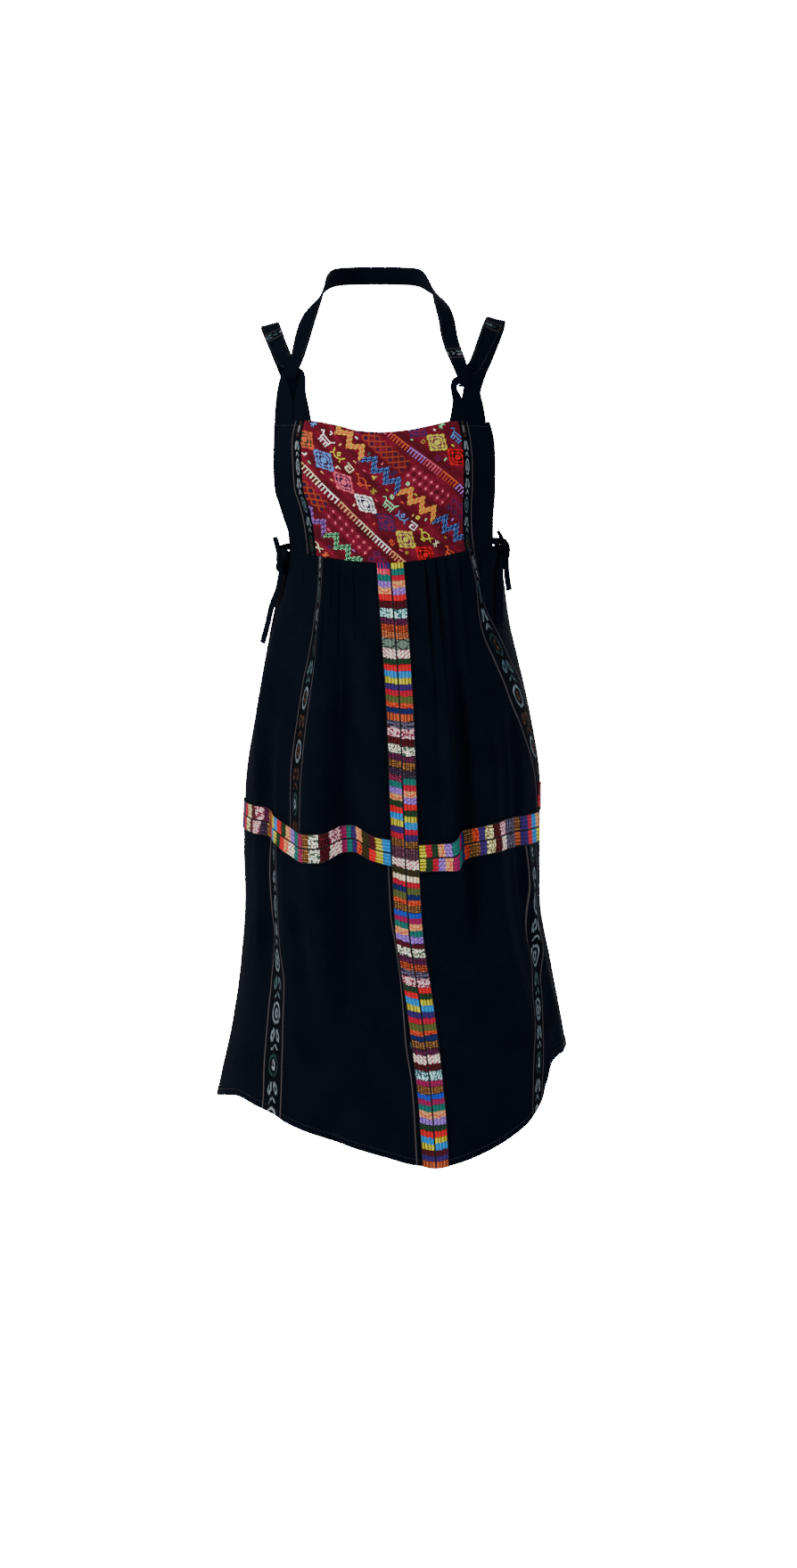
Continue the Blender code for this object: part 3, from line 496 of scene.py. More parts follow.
def ikatMarks(tree, across, down):
    # warp ikat, 60 mm a repeat: a long oval round a small one, then a pair of looped leaves
    # and a small fork; the threads were tied and dyed before weaving, so each thread's
    # mark is a little shifted along it and the edges feather
    def ovalEdge(sideways, along, halfWidth, halfLength, thin):
        sizes = [addNode(tree, "ShaderNodeMath", {0: part, 1: half}, operation="DIVIDE")
                 for part, half in ((sideways, halfWidth), (along, halfLength))]
        flat = addNode(tree, "ShaderNodeCombineXYZ", {0: sizes[0], 1: sizes[1]})
        reach = addNode(tree, "ShaderNodeVectorMath", {0: flat}, operation="LENGTH").outputs["Value"]
        off = addNode(tree, "ShaderNodeMath", {0: reach, 1: 1.0 - thin}, operation="SUBTRACT")
        off = addNode(tree, "ShaderNodeMath", {0: off}, operation="ABSOLUTE")
        return addNode(tree, "ShaderNodeMath", {0: off, 1: thin}, operation="LESS_THAN")

    streak = addNode(tree, "ShaderNodeCombineXYZ", {0: across, 1: down})
    stretched = addNode(tree, "ShaderNodeMapping", {"Vector": streak, "Scale": (1.3, 0.05, 1.0)})
    feather = addNode(tree, "ShaderNodeTexNoise", {"Vector": stretched, "Scale": 1.0, "Detail": 1.0})
    # warp threads that missed the tie break the marks up
    thread = addNode(tree, "ShaderNodeMapping", {"Vector": streak, "Scale": (1.7, 0.09, 1.0)})
    broken = addNode(tree, "ShaderNodeTexNoise", {"Vector": thread, "Scale": 1.0, "Detail": 0.0})
    broken = addNode(tree, "ShaderNodeMapRange", {"Value": broken, "From Min": 0.34, "From Max": 0.52,
                                                  "To Min": 0.12, "To Max": 1.0})
    steps = (  # a name, how it is found and from what: earlier names, mm and shares
        ("shifted", "MULTIPLY_ADD", "feather", 7.0, "down"),
        ("local", "WRAP", "shifted", 0.0, 60.0),
        ("bent", "MULTIPLY_ADD", "feather", 1.6, "across"),
        ("bent", "SUBTRACT", "bent", 0.8),
        ("side", "ABSOLUTE", "bent"),
        ("fromOval", "SUBTRACT", "local", 15.0),
        ("outer", "oval", "side", "fromOval", 4.7, 13.0, 0.13),
        ("inner", "oval", "side", "fromOval", 1.8, 6.0, 0.30),
        ("fromLeaf", "SUBTRACT", "local", 41.0),
        ("leafSide", "MULTIPLY_ADD", "fromLeaf", -0.12, "side"),
        ("leafSide", "SUBTRACT", "leafSide", 2.8),
        ("leaf", "oval", "leafSide", "fromLeaf", 1.9, 7.5, 0.30),
        ("fork", "SUBTRACT", "local", 50.5),
        ("fork", "MULTIPLY_ADD", "fork", -0.45, "side"),
        ("fork", "ABSOLUTE", "fork"),
        ("fork", "LESS_THAN", "fork", 0.75),
        ("forkEnd", "SUBTRACT", "local", 54.5),
        ("forkEnd", "ABSOLUTE", "forkEnd"),
        ("forkEnd", "LESS_THAN", "forkEnd", 3.6),
        ("fork", "MULTIPLY", "fork", "forkEnd"),
        ("marks", "MAXIMUM", "outer", "inner"),
        ("leaf", "MAXIMUM", "leaf", "fork"),
        ("marks", "MAXIMUM", "marks", "leaf"),
        ("marks", "MULTIPLY", "marks", "broken"),
        # each figure was tied for its own dye
        ("order", "ADD", "shifted", 1.0),
        ("order", "DIVIDE", "order", 30.0),
        ("order", "FLOOR", "order"),
        ("order", "MULTIPLY_ADD", "inner", 3.0, "order"),
        ("away", "ABSOLUTE", "across"),
    )
    found = {"across": across, "down": down, "feather": feather, "broken": broken}
    for name, operation, *taken in steps:
        taken = [found.get(value, value) for value in taken]
        if operation == "oval":
            found[name] = ovalEdge(*taken)
        else:
            found[name] = addNode(tree, "ShaderNodeMath", dict(enumerate(taken)), operation=operation)
    dyed = addNode(tree, "ShaderNodeTexWhiteNoise", {"W": found["order"]}, noise_dimensions="1D")
    return found["marks"], found["away"], dyed


# the weave's drawn repeat and the half width of the ikat marks' dark ground, in mm; threads
# really lie 0.45 mm apart and are drawn 1.1 mm apart so that the weave shows
indigoCloth = {
    "weave": 2.2, "marksHalf": 6.2,
    "deep": "01040a", "pale": "040813", "stripe": "040607", "thread": "433e3f",
    "tints": [(0.0, "1c3031"), (0.22, "5d6870"), (0.50, "747f86"), (0.66, "3d5058"), (0.82, "3c281e")],
}
ikatHalf = 9.0  # the pale threads lie this far from the stripe's middle
ikatReach = 30.0  # across a stripe the ikat coordinates go this far and no further
noStripe = (60.0, 0.0)  # the ikat coordinates of plain cloth, far from any stripe


def indigoCotton():
    # handwoven indigo cotton: a plain weave of uneven hand-spun thread, dyed nearly black,
    # matt with a faint blue bloom; ikat stripes with a pale warp thread at each side
    finish, tree, shader = newFinish("indigo_handwoven_cotton")
    inMm, places = clothPlaces(tree, "weave")
    warp, weft = threadWaves(tree, places, (indigoCloth["weave"], indigoCloth["weave"]))
    crossing = addNode(tree, "ShaderNodeMath", {0: warp, 1: weft}, operation="MULTIPLY")
    # slubs: thicker stretches of thread, long along the warp and along the weft
    longWarp = addNode(tree, "ShaderNodeMapping", {"Vector": inMm, "Scale": (0.9, 0.05, 1.0)})
    longWeft = addNode(tree, "ShaderNodeMapping", {"Vector": inMm, "Scale": (0.05, 0.9, 1.0)})
    warpSlub = addNode(tree, "ShaderNodeTexNoise", {"Vector": longWarp, "Scale": 1.0, "Detail": 2.0})
    weftSlub = addNode(tree, "ShaderNodeTexNoise", {"Vector": longWeft, "Scale": 1.0, "Detail": 2.0})
    slub = addNode(tree, "ShaderNodeMath", {0: warpSlub, 1: weftSlub}, operation="ADD")
    height = addNode(tree, "ShaderNodeMath", {0: crossing, 1: 0.22, 2: slub}, operation="MULTIPLY_ADD")
    bump = addNode(tree, "ShaderNodeBump", {"Height": height, "Strength": 0.55, "Distance": 0.0006})
    # the dye: darker and bluer stretches
    wide = addNode(tree, "ShaderNodeTexNoise", {"Vector": inMm, "Scale": 0.02, "Detail": 4.0})
    tone = addNode(tree, "ShaderNodeMath", {0: slub, 1: 0.45, 2: wide}, operation="MULTIPLY_ADD")
    tone = addNode(tree, "ShaderNodeMapRange", {"Value": tone, "From Min": 0.62, "From Max": 1.3})
    # the ikat stripe: its dark ground, the tied marks, and a pale thread at each side
    _inMm, places = clothPlaces(tree, "ikat")
    marks, side, dyed = ikatMarks(tree, places[0], places[1])
    dark = addNode(tree, "ShaderNodeMath", {0: side, 1: indigoCloth["marksHalf"]}, operation="LESS_THAN")
    dark = addNode(tree, "ShaderNodeMath", {0: dark, 1: 0.7}, operation="MULTIPLY")
    tint = addNode(tree, "ShaderNodeValToRGB", {0: dyed})
    tint.color_ramp.interpolation = "CONSTANT"
    stops, tints = tint.color_ramp.elements, indigoCloth["tints"]
    stops[0].position, stops[1].position = tints[0][0], tints[-1][0]
    stops[0].color, stops[1].color = linearColour(tints[0][1]), linearColour(tints[-1][1])
    for position, colour in tints[1:-1]:
        stops.new(position).color = linearColour(colour)
    thread = addNode(tree, "ShaderNodeMath", {0: side, 1: ikatHalf}, operation="SUBTRACT")
    thread = addNode(tree, "ShaderNodeMath", {0: thread}, operation="ABSOLUTE")
    thread = addNode(tree, "ShaderNodeMapRange", {"Value": thread, "From Min": 0.35, "From Max": 0.60,
                                                  "To Min": 0.85, "To Max": 0.0})
    dye, pale, stripe, edge = [linearColour(indigoCloth[name])
                               for name in ("deep", "pale", "stripe", "thread")]
    for share, colour in ((tone, pale), (dark, stripe), (marks, tint), (thread, edge)):
        dye = addNode(tree, "ShaderNodeMix", {0: share, 6: dye, 7: colour}, data_type="RGBA").outputs[2]
    joinFinish(tree, shader, dye, bump, {
        "Roughness": 0.92, "IOR": 1.5, "Specular IOR Level": 0.03, "Sheen Weight": 0.006,
        "Sheen Roughness": 0.5, "Sheen Tint": linearColour("8fa3c8")})
    return finish


def threadCloth(name, threadWide, threadLong, gloss, reliefMm):
    # woven or worked threads whose colours the pattern chart gives; each float of thread is rounded, and
    # its base colour carries painted shade and highlight: darker where the thread waves and fuzz lie low,
    # lighter on their crests
    finish, tree, shader = newFinish(name)
    chart = addNode(tree, "ShaderNodeVertexColor", layer_name="threads")
    inMm, places = clothPlaces(tree, "weave")
    waves = threadWaves(tree, places, (threadWide, threadLong))
    both = addNode(tree, "ShaderNodeMath", {0: waves[0], 1: 0.5, 2: waves[1]}, operation="MULTIPLY_ADD")
    fuzz = addNode(tree, "ShaderNodeTexNoise", {"Vector": inMm, "Scale": 0.7, "Detail": 3.0})
    height = addNode(tree, "ShaderNodeMath", {0: fuzz, 1: 2.0, 2: both}, operation="MULTIPLY_ADD")
    bump = addNode(tree, "ShaderNodeBump", {"Height": height, "Strength": 0.6, "Distance": reliefMm * mm})
    # painted shade and highlight: the chart's colour is scaled down in the low places of the thread relief
    # and up on its crests
    paintedShade = addNode(tree, "ShaderNodeMapRange", {"Value": height, "From Min": -1.0, "From Max": 2.6,
                                                 "To Min": 0.62, "To Max": 1.12})
    tone = addNode(tree, "ShaderNodeVectorMath", {0: chart.outputs[0], "Scale": paintedShade}, operation="SCALE")
    joinFinish(tree, shader, tone.outputs[0], bump,
               {"Roughness": gloss, "IOR": 1.5, "Specular IOR Level": 0.06})
    return finish


def sewingThread(name, deep, pale):
    # two-ply sewing cotton: slightly lighter than the cloth it holds, with a dull gleam
    finish, tree, shader = newFinish(name)
    where = addNode(tree, "ShaderNodeTexCoord")
    ply = addNode(tree, "ShaderNodeTexNoise", {"Vector": where.outputs["Object"], "Scale": 900.0})
    tone = addNode(tree, "ShaderNodeMix", {0: ply, 6: linearColour(deep), 7: linearColour(pale)},
                   data_type="RGBA")
    bump = addNode(tree, "ShaderNodeBump", {"Height": ply, "Strength": 0.4, "Distance": 0.0002})
    joinFinish(tree, shader, tone.outputs[2], bump, {"Roughness": 0.62})
    return finish


indigo = indigoCotton()
brocadeThreads = threadCloth("brocaded_cotton", 1.0, 1.0, 0.72, 0.35)
bandThreads = threadCloth("worked_silk_band", 1.6, 0.9, 0.52, 0.30)
sewing = sewingThread("indigo_sewing_cotton", "02050b", "060c18")
edgeThread = sewingThread("crimson_edging_cotton", "2c0812", "6a2038")
print("finishes ready")


# stitches

def stitchTree():
    # one rounded stitch after another along each path, half sunk in the cloth
    tree = bpy.data.node_groups.new("run_of_stitches", "GeometryNodeTree")
    tree.is_modifier = True
    for name, kind, direction in (("Path", "NodeSocketGeometry", "INPUT"),
                                  ("Pitch", "NodeSocketFloat", "INPUT"),
                                  ("Stitch Length", "NodeSocketFloat", "INPUT"),
                                  ("Thread Width", "NodeSocketFloat", "INPUT"),
                                  ("Thread", "NodeSocketMaterial", "INPUT"),
                                  ("Stitches", "NodeSocketGeometry", "OUTPUT")):
        tree.interface.new_socket(name, in_out=direction, socket_type=kind)
    given = addNode(tree, "NodeGroupInput").outputs
    points = addNode(tree, "GeometryNodeCurveToPoints", {"Curve": given["Path"], "Length": given["Pitch"]},
                     mode="LENGTH")
    round_ = addNode(tree, "GeometryNodeMeshUVSphere", {"Segments": 6, "Rings": 4, "Radius": 0.5})
    size = addNode(tree, "ShaderNodeCombineXYZ", {0: given["Thread Width"], 1: given["Thread Width"],
                                                  2: given["Stitch Length"]})
    stitch = addNode(tree, "GeometryNodeTransform", {"Geometry": round_, "Scale": size})
    turns = addNode(tree, "FunctionNodeRandomValue", {"Min": 0.92, "Max": 1.08, "Seed": 7},
                    data_type="FLOAT")
    placed = addNode(tree, "GeometryNodeInstanceOnPoints",
                     {"Points": points, "Instance": stitch, "Rotation": points.outputs["Rotation"],
                      "Scale": turns.outputs[1]})
    real = addNode(tree, "GeometryNodeRealizeInstances", {"Geometry": placed})
    painted = addNode(tree, "GeometryNodeSetMaterial", {"Geometry": real, "Material": given["Thread"]})
    addNode(tree, "NodeGroupOutput", {0: painted})
    return tree


stitches = {"tree": stitchTree(), "pitch": 3.4, "length": 2.6, "width": 0.55}


def stitchRun(name, paths, slotName="indigo_cotton", pitch=None, length=None, width=None, thread=None):
    data = bpy.data.curves.new(name, "CURVE")
    data.dimensions = "3D"
    for path in paths:
        line = data.splines.new("POLY")
        line.points.add(len(path) - 1)
        for point, place in zip(line.points, path):
            point.co = (*(Vector(place) * mm), 1.0)
    item = placeObject(name, data)
    worked = item.modifiers.new("stitches", "NODES")
    worked.node_group = stitches["tree"]
    values = {"Pitch": (pitch or stitches["pitch"]) * mm,
              "Stitch Length": (length or stitches["length"]) * mm,
              "Thread Width": (width or stitches["width"]) * mm, "Thread": thread or sewing}
    for socket in stitches["tree"].interface.items_tree:
        if socket.name in values:
            worked[socket.identifier] = values[socket.name]
    return settle(item, sharp=80)


# the skirt

# heights and, round the level section, the pale thread, the middle and the other thread
stripeRows = {
    "upper": [
        [
            (-265, 0.276, 0.284, 0.290), (-346, 0.284, 0.292, 0.298), (-379, 0.280, 0.294, 0.3005),
            (-414, 0.270, 0.287, 0.300), (-457, 0.264, 0.281, 0.300), (-498, 0.262, 0.281, 0.302),
            (-540, 0.265, 0.281, 0.302), (-590, 0.270, 0.286, 0.302)],
        [
            (-262, 0.740, 0.750, 0.760), (-304, 0.758, 0.768, 0.774), (-333, 0.760, 0.780, 0.795),
            (-359, 0.768, 0.800, 0.835), (-390, 0.793, 0.838, 0.876), (-417, 0.816, 0.868, 0.925),
            (-451, 0.846, 0.892, 0.945), (-490, 0.882, 0.925, 0.965), (-530, 0.908, 0.948, 0.985),
            (-570, 0.926, 0.962, 0.995)],
    ],
    "lower": [
        [
            (-590, 0.182, 0.207, 0.222), (-640, 0.176, 0.205, 0.226), (-680, 0.184, 0.208, 0.231),
            (-715, 0.206, 0.228, 0.245), (-755, 0.213, 0.241, 0.266), (-800, 0.218, 0.245, 0.270),
            (-840, 0.224, 0.251, 0.275), (-880, 0.238, 0.261, 0.282), (-920, 0.250, 0.270, 0.290)],
        [
            (-620, 0.493, 0.511, 0.529), (-668, 0.496, 0.514, 0.532), (-711, 0.504, 0.522, 0.540),
            (-747, 0.509, 0.527, 0.545), (-790, 0.513, 0.531, 0.549), (-820, 0.516, 0.534, 0.552),
            (-864, 0.527, 0.545, 0.563), (-906, 0.534, 0.552, 0.570), (-959, 0.540, 0.558, 0.576)],
        [
            (-600, 0.846, 0.880, 0.912), (-655, 0.860, 0.894, 0.924), (-700, 0.852, 0.880, 0.906),
            (-745, 0.830, 0.852, 0.874), (-791, 0.806, 0.825, 0.844), (-833, 0.788, 0.806, 0.823),
            (-876, 0.777, 0.791, 0.805), (-905, 0.771, 0.782, 0.793)],
    ],
    "back": [
        [(-1000, 0.245, 0.264, 0.283), (-250, 0.245, 0.264, 0.283)],
        [(-1000, 0.717, 0.736, 0.755), (-250, 0.717, 0.736, 0.755)],
    ],
}
ikatStripes = {part: [SizeTable("height near middle far", rows) for rows in stripes]
               for part, stripes in stripeRows.items()}


def ikatPlace(share, height, stripes):
    # signed distance in cloth mm from the nearest stripe, continuous between stripes
    middles = [table.at(height, "middle") for table in stripes]
    order = min(range(len(stripes)), key=lambda i: abs(share - middles[i]))
    near, middle, far = stripes[order].at(height, "near"), middles[order], stripes[order].at(height, "far")
    reach = (middle - near) if share < middle else (far - middle)
    place = max(min(ikatHalf * (share - middle) / reach, ikatReach), -ikatReach)
    # where the cloth is pleated together only the stripe's pale threads show
    hidden = 1 - ease((far - near - 0.016) / 0.010)
    if abs(place) < ikatHalf:
        place += math.copysign((ikatHalf - abs(place)) * 0.55 * hidden, place)
    # every second stripe is turned round, so the value never jumps between two stripes
    return place if order % 2 == 0 else -place


skirtParts = {
    "skirt_upper_front": {"side": front, "levels": (0.0, 1.5), "columns": 170, "rows": 84, "ikat": "upper"},
    "skirt_lower_front": {"side": front, "levels": (1.5, 3.0), "columns": 170, "rows": 96, "ikat": "lower"},
    "skirt_upper_back": {"side": back, "levels": (0.0, 1.5), "columns": 150, "rows": 76, "ikat": "back"},
    "skirt_lower_back": {"side": back, "levels": (1.5, 3.0), "columns": 150, "rows": 88, "ikat": "back"},
}
skirtHem = {"turnUp": 9.0, "rise": 0.7, "stitchUp": 7.4}
sideSeam = {"under": 1.9, "lap": 8.0}


def sideLap(edge, inward):
    # two more points past a side seam, the first just inside the cloth's edge
    under = Vector((edge.x + inward * sideSeam["under"], edge.y, edge.z))
    return [under, under + Vector((inward * 0.2, sideSeam["lap"], 0))]


def buildSkirt():
    for node, part in skirtParts.items():
        side = part["side"]
        columns = skirtColumns(side, part["columns"])
        first, last = part["levels"]
        levels = [(first + (last - first) * i / part["rows"], 0.0, 0.0) for i in range(part["rows"] + 1)]
        if last == 3.0:
            # the hem is turned up once: a thicker strip with a step at its upper edge
            levels = [row for row in levels if row[0] < 3.0 - (skirtHem["turnUp"] + 2) / 330]
            levels += [(3.0, up, lift * skirtHem["rise"]) for up, lift in (
                (skirtHem["turnUp"] + 1.0, 0), (skirtHem["turnUp"] + 0.3, 0.3),
                (skirtHem["turnUp"] - 0.3, 0.9), (skirtHem["stitchUp"], 0.55),
                (4.5, 1), (1.2, 0.8), (0, 0.1))]
        rows, ikatRows = [], []
        for order, (level, up, lift) in enumerate(levels):
            shift = up
            if level == 1.5:
                shift = cloth["joinGap"] / 2 if order else -cloth["joinGap"] / 2
            row = [skirtPoint(along, level, side, shift, lift) for along in columns]
            marks = []
            for along, point in zip(columns, row):
                marks.append((ikatPlace(clothShare(along, point.z, side), point.z,
                                        ikatStripes[part["ikat"]]), -point.z))
            if side == front:
                # the front's seam allowance is lapped under the back
                row = sideLap(row[0], 1)[::-1] + row + sideLap(row[-1], -1)
                marks = marks[:1] * 2 + marks + marks[-1:] * 2
            rows.append(row)
            ikatRows.append(marks)
        grid = np.array([[tuple(point) for point in row] for row in rows])
        item = clothPiece(node + "_cloth", grid, side == front, cloth["skirtWall"], -1.0, indigo,
                          clothLengths(grid), np.array(ikatRows))
        settle(item, node)
        print(node, "made")


# the striped bands

bandTones = {  # main thread, second thread, kind of pattern, length down the band in mm
    "navy": ("1c2a6e", "0f1740", "plain", 6.5), "pickNavy": ("2a2f7c", "b02050", "dash", 6.5),
    "crimson": ("b51e3e", "7a1028", "plain", 6.5), "pickCrimson": ("c22a55", "e58aa0", "dash", 6.5),
    "teal": ("1d8078", "0f4a48", "plain", 7.5), "lilac": ("a985c6", "7a55a0", "diagonal", 7.5),
    "peach": ("f4ab7c", "c8524a", "arch", 7.5), "red": ("c4202e", "7e1320", "plain", 7.0),
    "wineGrid": ("7a1a28", "2c0c14", "grid", 9.0), "aquaMottle": ("b9dbe0", "3f6878", "mottle", 10.5),
    "plumGrid": ("84285e", "2c1030", "grid", 7.5), "rustGrid": ("cf6a3c", "5c2418", "grid", 8.0),
    "peachGrid": ("e8935c", "7c3a24", "grid", 8.0), "greyLens": ("7d9488", "1f2a28", "lens", 12.5),
    "roseSlant": ("f2d2cc", "b0305a", "diagonal", 10.0), "forest": ("22452c", "12261a", "plain", 7.0),
    "sky": ("2c98e0", "1c5c9c", "plain", 7.5), "yellow": ("f6cd35", "8a6420", "dash", 7.0),
    "purple": ("40297c", "1e1440", "plain", 7.0), "olive": ("667238", "38401e", "plain", 8.0),
    "orange": ("f0603a", "b03020", "arch", 5.5), "copper": ("bb6b3c", "5a2c1a", "dash", 8.0),
    "greyRays": ("77708c", "26223a", "rays", 8.5), "roseMottle": ("eec0c4", "96304e", "mottle", 10.0),
    "mintMottle": ("dbe6cc", "4c6a54", "mottle", 10.0), "goldGrid": ("b08a4c", "3c2a16", "grid", 9.0),
    "darkGrid": ("5a4466", "1a1220", "grid", 9.0), "wineSlant": ("a03060", "3c1430", "diagonal", 7.0),
    "mauveGrid": ("8c5a70", "34182a", "grid", 13.0), "darkOlive": ("3c381c", "1a180e", "plain", 8.0),
    "cream": ("efe3c2", "b49a70", "dash", 6.5), "royal": ("2b50b8", "182a70", "plain", 6.0),
    "magenta": ("a32064", "5c1040", "plain", 6.5), "wine": ("5c1424", "2c0a12", "plain", 6.5),
    "creamMottle": ("e8e0b4", "8c7c48", "mottle", 8.5),
}
centreBand = {
    "left": "pickNavy pickCrimson teal lilac peach red wineGrid aquaMottle plumGrid rustGrid peachGrid "
            "greyLens roseSlant forest red sky yellow purple crimson olive orange navy copper greyRays "
            "roseMottle wineGrid mintMottle plumGrid goldGrid darkGrid wineSlant teal lilac peach "
            "forest red sky yellow purple crimson goldGrid mauveGrid roseSlant darkOlive cream crimson "
            "navy olive orange goldGrid royal magenta teal peach lilac wine mintMottle plumGrid "
            "rustGrid greyRays roseMottle forest red sky yellow purple crimson olive orange navy "
            "goldGrid plumGrid roseSlant wineGrid aquaMottle magenta goldGrid royal magenta teal peach "
            "lilac forest red sky yellow wine purple copper",
    "right": "yellow teal crimson peach lilac red wineGrid aquaMottle plumGrid rustGrid peachGrid "
             "greyLens roseSlant forest red sky yellow purple crimson olive orange navy copper "
             "greyRays roseMottle wineGrid mintMottle plumGrid goldGrid darkGrid teal crimson peach "
             "lilac red forest yellow sky crimson purple goldGrid mauveGrid roseSlant darkOlive cream "
             "crimson olive navy orange goldGrid royal magenta peach teal lilac wine mintMottle "
             "plumGrid rustGrid greyRays roseMottle red forest yellow sky purple crimson olive orange "
             "navy goldGrid plumGrid roseSlant wineGrid aquaMottle magenta goldGrid royal magenta teal "
             "peach lilac forest red yellow sky wine purple copper",
}
hipBands = {
    "hip_band_front_left": {
        "upper": "purple peach navy crimson creamMottle wine roseMottle plumGrid goldGrid orange "
                 "yellow sky red forest peach lilac teal magenta goldGrid mintMottle wineGrid "
                 "roseMottle magenta teal purple peach darkOlive wine yellow sky",
        "lower": "purple orange navy crimson creamMottle wine roseMottle darkGrid goldGrid crimson sky "
                 "yellow forest red peach roseSlant teal magenta goldGrid mintMottle wineGrid "
                 "roseSlant magenta teal purple orange darkOlive red yellow sky",
    },
    "hip_band_front_right": {
        "upper": "yellow crimson forest peach lilac teal magenta navy goldGrid orange purple "
                 "creamMottle wineGrid roseMottle greyRays greyRays goldGrid purple crimson sky peach",
        "lower": "yellow forest crimson lilac peach magenta teal navy orange goldGrid purple "
                 "creamMottle wineGrid roseSlant greyRays greyRays copper purple red sky yellow",
    },
    "hip_band_back": {
        "upper": "crimson wine peach lilac teal goldGrid magenta mintMottle wineGrid roseMottle navy "
                 "yellow sky red forest orange purple greyRays copper creamMottle crimson lilac teal "
                 "plumGrid peach olive yellow sky roseSlant goldGrid purple red teal magenta "
                 "aquaMottle forest orange navy creamMottle wineGrid crimson wineGrid crimson wine "
                 "crimson wine",
        "lower": "crimson wine lilac peach teal goldGrid magenta mintMottle wineGrid roseSlant navy "
                 "sky yellow forest red orange purple greyRays copper creamMottle crimson teal lilac "
                 "plumGrid peach olive sky yellow roseMottle goldGrid red purple teal magenta "
                 "aquaMottle orange forest navy creamMottle wineGrid wine crimson wine crimson wine "
                 "crimson",
    },
}
bandWork = {  # mm, shares of a thread's tone, and counts of cells and steps
    "rowSpacing": 4.0, "rowFrom": 0.45, "rowWidth": 0.5, "rowTone": 0.5, "openTone": 1.1,
    "edge": 0.8, "middle": 1.1, "edgeTone": "140f1a", "stripeEdge": 0.7, "stripeEdgeTone": 0.55,
    "uneven": 0.10, "brightest": 0.95, "cells": 640, "halfCells": 16, "hipCells": 520, "hipSteps": 150,
}


def stripeTone(kind, along, length, across, half, seed):
    # which of a stripe's two threads shows at a place; across runs out from the band's middle
    middle = along - length / 2
    out = across / half
    if kind == "grid":
        return (along % 2.6) < 1.0 or (across % 2.8) < 1.0
    if kind == "dash":
        return (across % 3.6) < 0.9
    if kind == "diagonal":
        return ((across * 0.8 + along) % 4.4) < 1.5
    if kind == "mottle":
        return noise.noise(Vector((along * 0.62, across * 0.55, seed * 3.7))) > 0.02
    if kind == "rays":
        return math.sin(math.atan2(middle, across + 1.5) * 16 + seed) > 0.25
    if kind == "lens":
        edge = length * 0.44 * (1 - (2 * out - 1) ** 2)
        return abs(abs(middle) - edge) < 0.9 or abs(middle) > length * 0.46
    if kind == "arch":
        return abs(along - length * (0.25 + 0.5 * math.sin(math.pi * out))) < 0.8
    return False


def stripeColours(words, total, count, half, halfCount, seed, seam=0):
    # the thread colours of one half of a band: count cells along it, halfCount across; seam
    # tells at which end, 1 or -1, the stripes were worked longer
    names = words.split()
    lengths = []
    for i, name in enumerate(names):
        fromSeam = i if seam == 1 else len(names) - 1 - i
        longer = 1 + (0.9 * ease(1 - fromSeam / 9) if seam else 0)
        lengths.append(bandTones[name][3] * longer * (1 + 0.10 * noise.noise(Vector((i * 1.7, seed, 0.5)))))
    scale = total / sum(lengths)
    edges = np.cumsum([0.0] + [length * scale for length in lengths])
    result = np.zeros((count, halfCount, 3))
    for row in range(count):
        for column in range(halfCount):
            across = (column + 0.5) * half / halfCount
            sway = 0.9 * noise.noise(Vector((row * 0.12, column * 0.33, seed))) + 0.9 * (across / half) ** 2
            along = min(max((row + 0.5) * total / count + sway, 0), total - 0.01)
            index = int(np.searchsorted(edges, along, side="right")) - 1
            main, second, kind, _length = bandTones[names[index]]
            length = edges[index + 1] - edges[index]
            other = stripeTone(kind, along - edges[index], length, across, half, index + seed)
            tone = threadTone(second if other else main)
            # lines of dark stitches run along the band
            onRow = (across - bandWork["rowFrom"]) % bandWork["rowSpacing"] < bandWork["rowWidth"]
            tone = tone * (bandWork["rowTone"] if onRow else bandWork["openTone"])
            if across < bandWork["middle"] or across > half - bandWork["edge"]:
                tone = threadTone(bandWork["edgeTone"])
            if along - edges[index] < bandWork["stripeEdge"]:
                tone = tone * bandWork["stripeEdgeTone"]
            uneven = noise.noise(Vector((row * 0.9, column * 1.3, 4)))
            result[row, column] = tone * (1 + bandWork["uneven"] * uneven)
    return np.minimum(result, bandWork["brightest"])


def overSkirt(along, level, side, lift, shift=0.0):
    return skirtPoint(along, level, side, shift) + skirtOutward(along, level, side) * lift


def bandGrid(levels, places, side):
    return [[overSkirt(place, level, side, cloth["seamGap"]) for place in places] for level in levels]


def bandLevels(count, inset=0):
    # even levels down the centre band, from inset mm inside its ends
    lines = [line.at(bandMiddle, "height") for line in (waistLine, frontBandTop, frontBandFoot, hemLine)]
    heights = np.linspace(lines[0] - inset, lines[3] + inset, count)
    return [float(level) for level in np.interp(heights, lines[::-1], (3, 2, 1, 0))]


